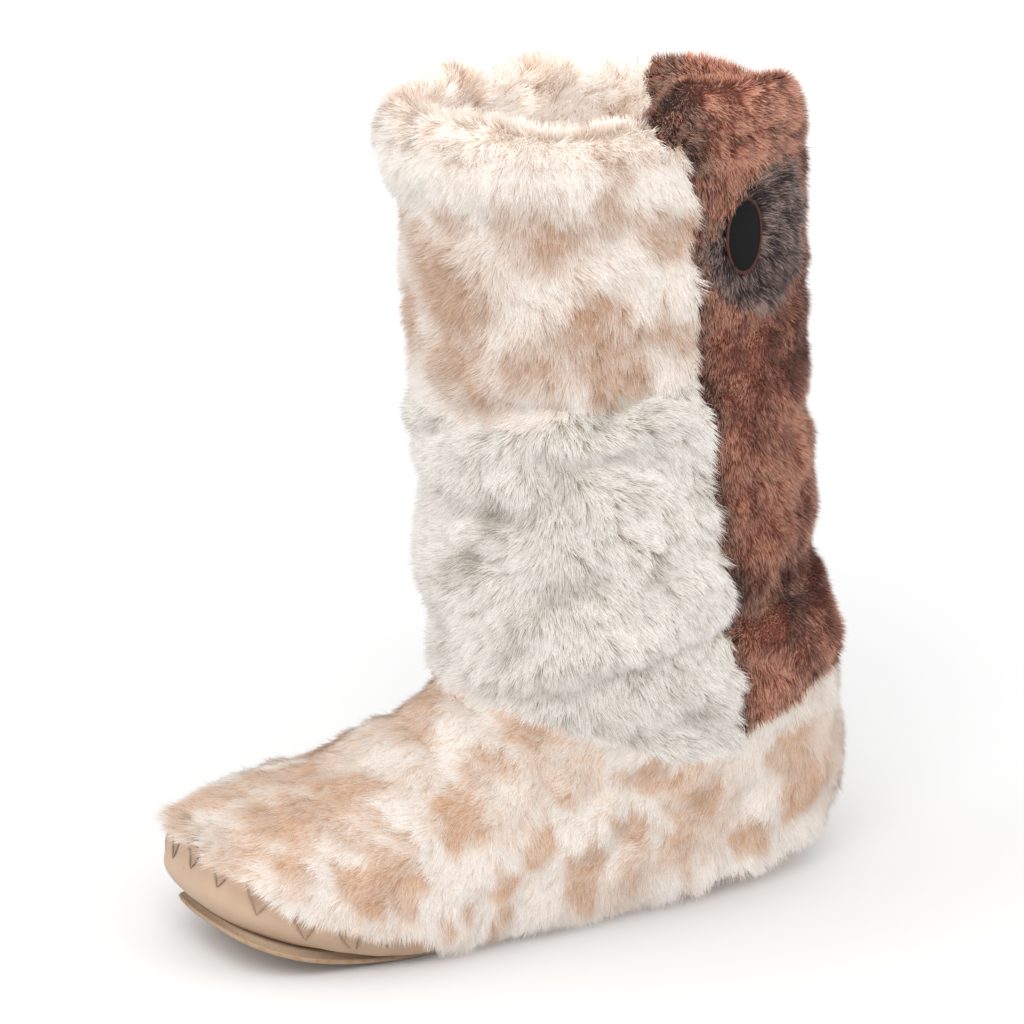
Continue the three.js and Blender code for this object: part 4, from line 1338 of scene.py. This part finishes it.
def paper(name, colour, deep, near):
    """Studio backing paper: matt, faint clouds of about 60 mm, and painted shade near the boot against the
    lamps' light.
    """
    material, tree, shader, place, _, dye = two_shades(name, 60, 2.0, deep, colour)
    fade = {"Vector": place, "Scale": PER_MM / PAPER_FADE}
    shrunk = add(tree, "ShaderNodeVectorMath", fade, operation="SCALE").outputs["Vector"]
    disc = add(tree, "ShaderNodeTexGradient", {"Vector": shrunk}, gradient_type="SPHERICAL").outputs["Fac"]
    lamp_pool_shade = add(tree, "ShaderNodeMix", {0: disc, 6: dye, 7: srgb(near)}, data_type="RGBA")
    tree.links.new(lamp_pool_shade.outputs[2], shader.inputs["Base Color"])
    shader.inputs["Roughness"].default_value = 0.9
    return material


FLOOR_SIZE = 6.0
FLOOR_DROP = 0.0002
WORLD_LIGHT = 1.02
LAMP_AIM = Vector((0.05, 0, 0.14))

# Lamps: name, place in metres, size in metres and power in watts
LAMPS = (
    ("key", (0.9, 1.1, 1.5), 1.1, 20),
    ("fill", (-1.0, 1.2, 0.9), 1.4, 5),
    ("toe", (1.5, -0.4, 0.8), 1.2, 5),
)


def make_stage():
    """White paper floor, white surroundings and three soft lamps."""
    bpy.ops.mesh.primitive_plane_add(size=FLOOR_SIZE, location=(0, 0, -FLOOR_DROP))
    floor = bpy.context.object
    floor.name = "floor"
    # The last colour, #DCDCDC, is painted shade near the boot against the lamps' light
    floor.data.materials.append(paper("white_paper", "#FDFDFD", "#FBFBFB", "#DCDCDC"))
    world = bpy.context.scene.world or bpy.data.worlds.new("studio")
    bpy.context.scene.world = world
    world.use_nodes = True
    background = world.node_tree.nodes["Background"]
    background.inputs["Color"].default_value = (1, 1, 1, 1)
    background.inputs["Strength"].default_value = WORLD_LIGHT
    for name, place, size, power in LAMPS:
        light = bpy.data.lights.new(name, "AREA")
        light.size = size
        light.energy = power
        lamp = bpy.data.objects.new(name, light)
        lamp.location = place
        lamp.rotation_euler = (LAMP_AIM - Vector(place)).to_track_quat("-Z", "Y").to_euler()
        bpy.context.collection.objects.link(lamp)
    bpy.context.scene.view_settings.view_transform = "Standard"


CAMERA_TURN = math.radians(30.46)
CAMERA_RISE = math.radians(17.18)
CAMERA_FAR = 1794.0
PIXELS_PER_MM = 2.74
AIM = np.array([30.0, 0, 140.0])
AIM_PIXEL = (601.9, 517.3)
IMAGE = 1024
SENSOR = 36.0


def make_camera():
    """Camera at the photo's angle, turned so that the photo's middle is on its axis."""
    level = np.array([math.sin(CAMERA_TURN), math.cos(CAMERA_TURN), 0])
    back = level * math.cos(CAMERA_RISE) + UP * math.sin(CAMERA_RISE)
    right = np.array([-math.cos(CAMERA_TURN), math.sin(CAMERA_TURN), 0])
    up = np.cross(back, right)
    eye = AIM + back * CAMERA_FAR
    across, down = ((IMAGE / 2 - pixel) / PIXELS_PER_MM for pixel in AIM_PIXEL)
    middle = AIM + right * across - up * down
    camera = bpy.data.cameras.new("camera")
    camera.sensor_width = SENSOR
    camera.lens = SENSOR * PIXELS_PER_MM * CAMERA_FAR / IMAGE
    holder = bpy.data.objects.new("camera", camera)
    holder.location = eye * MM
    holder.rotation_euler = Vector(middle - eye).to_track_quat("-Z", "Y").to_euler()
    bpy.context.collection.objects.link(holder)
    bpy.context.scene.camera = holder


make_stage()
make_camera()
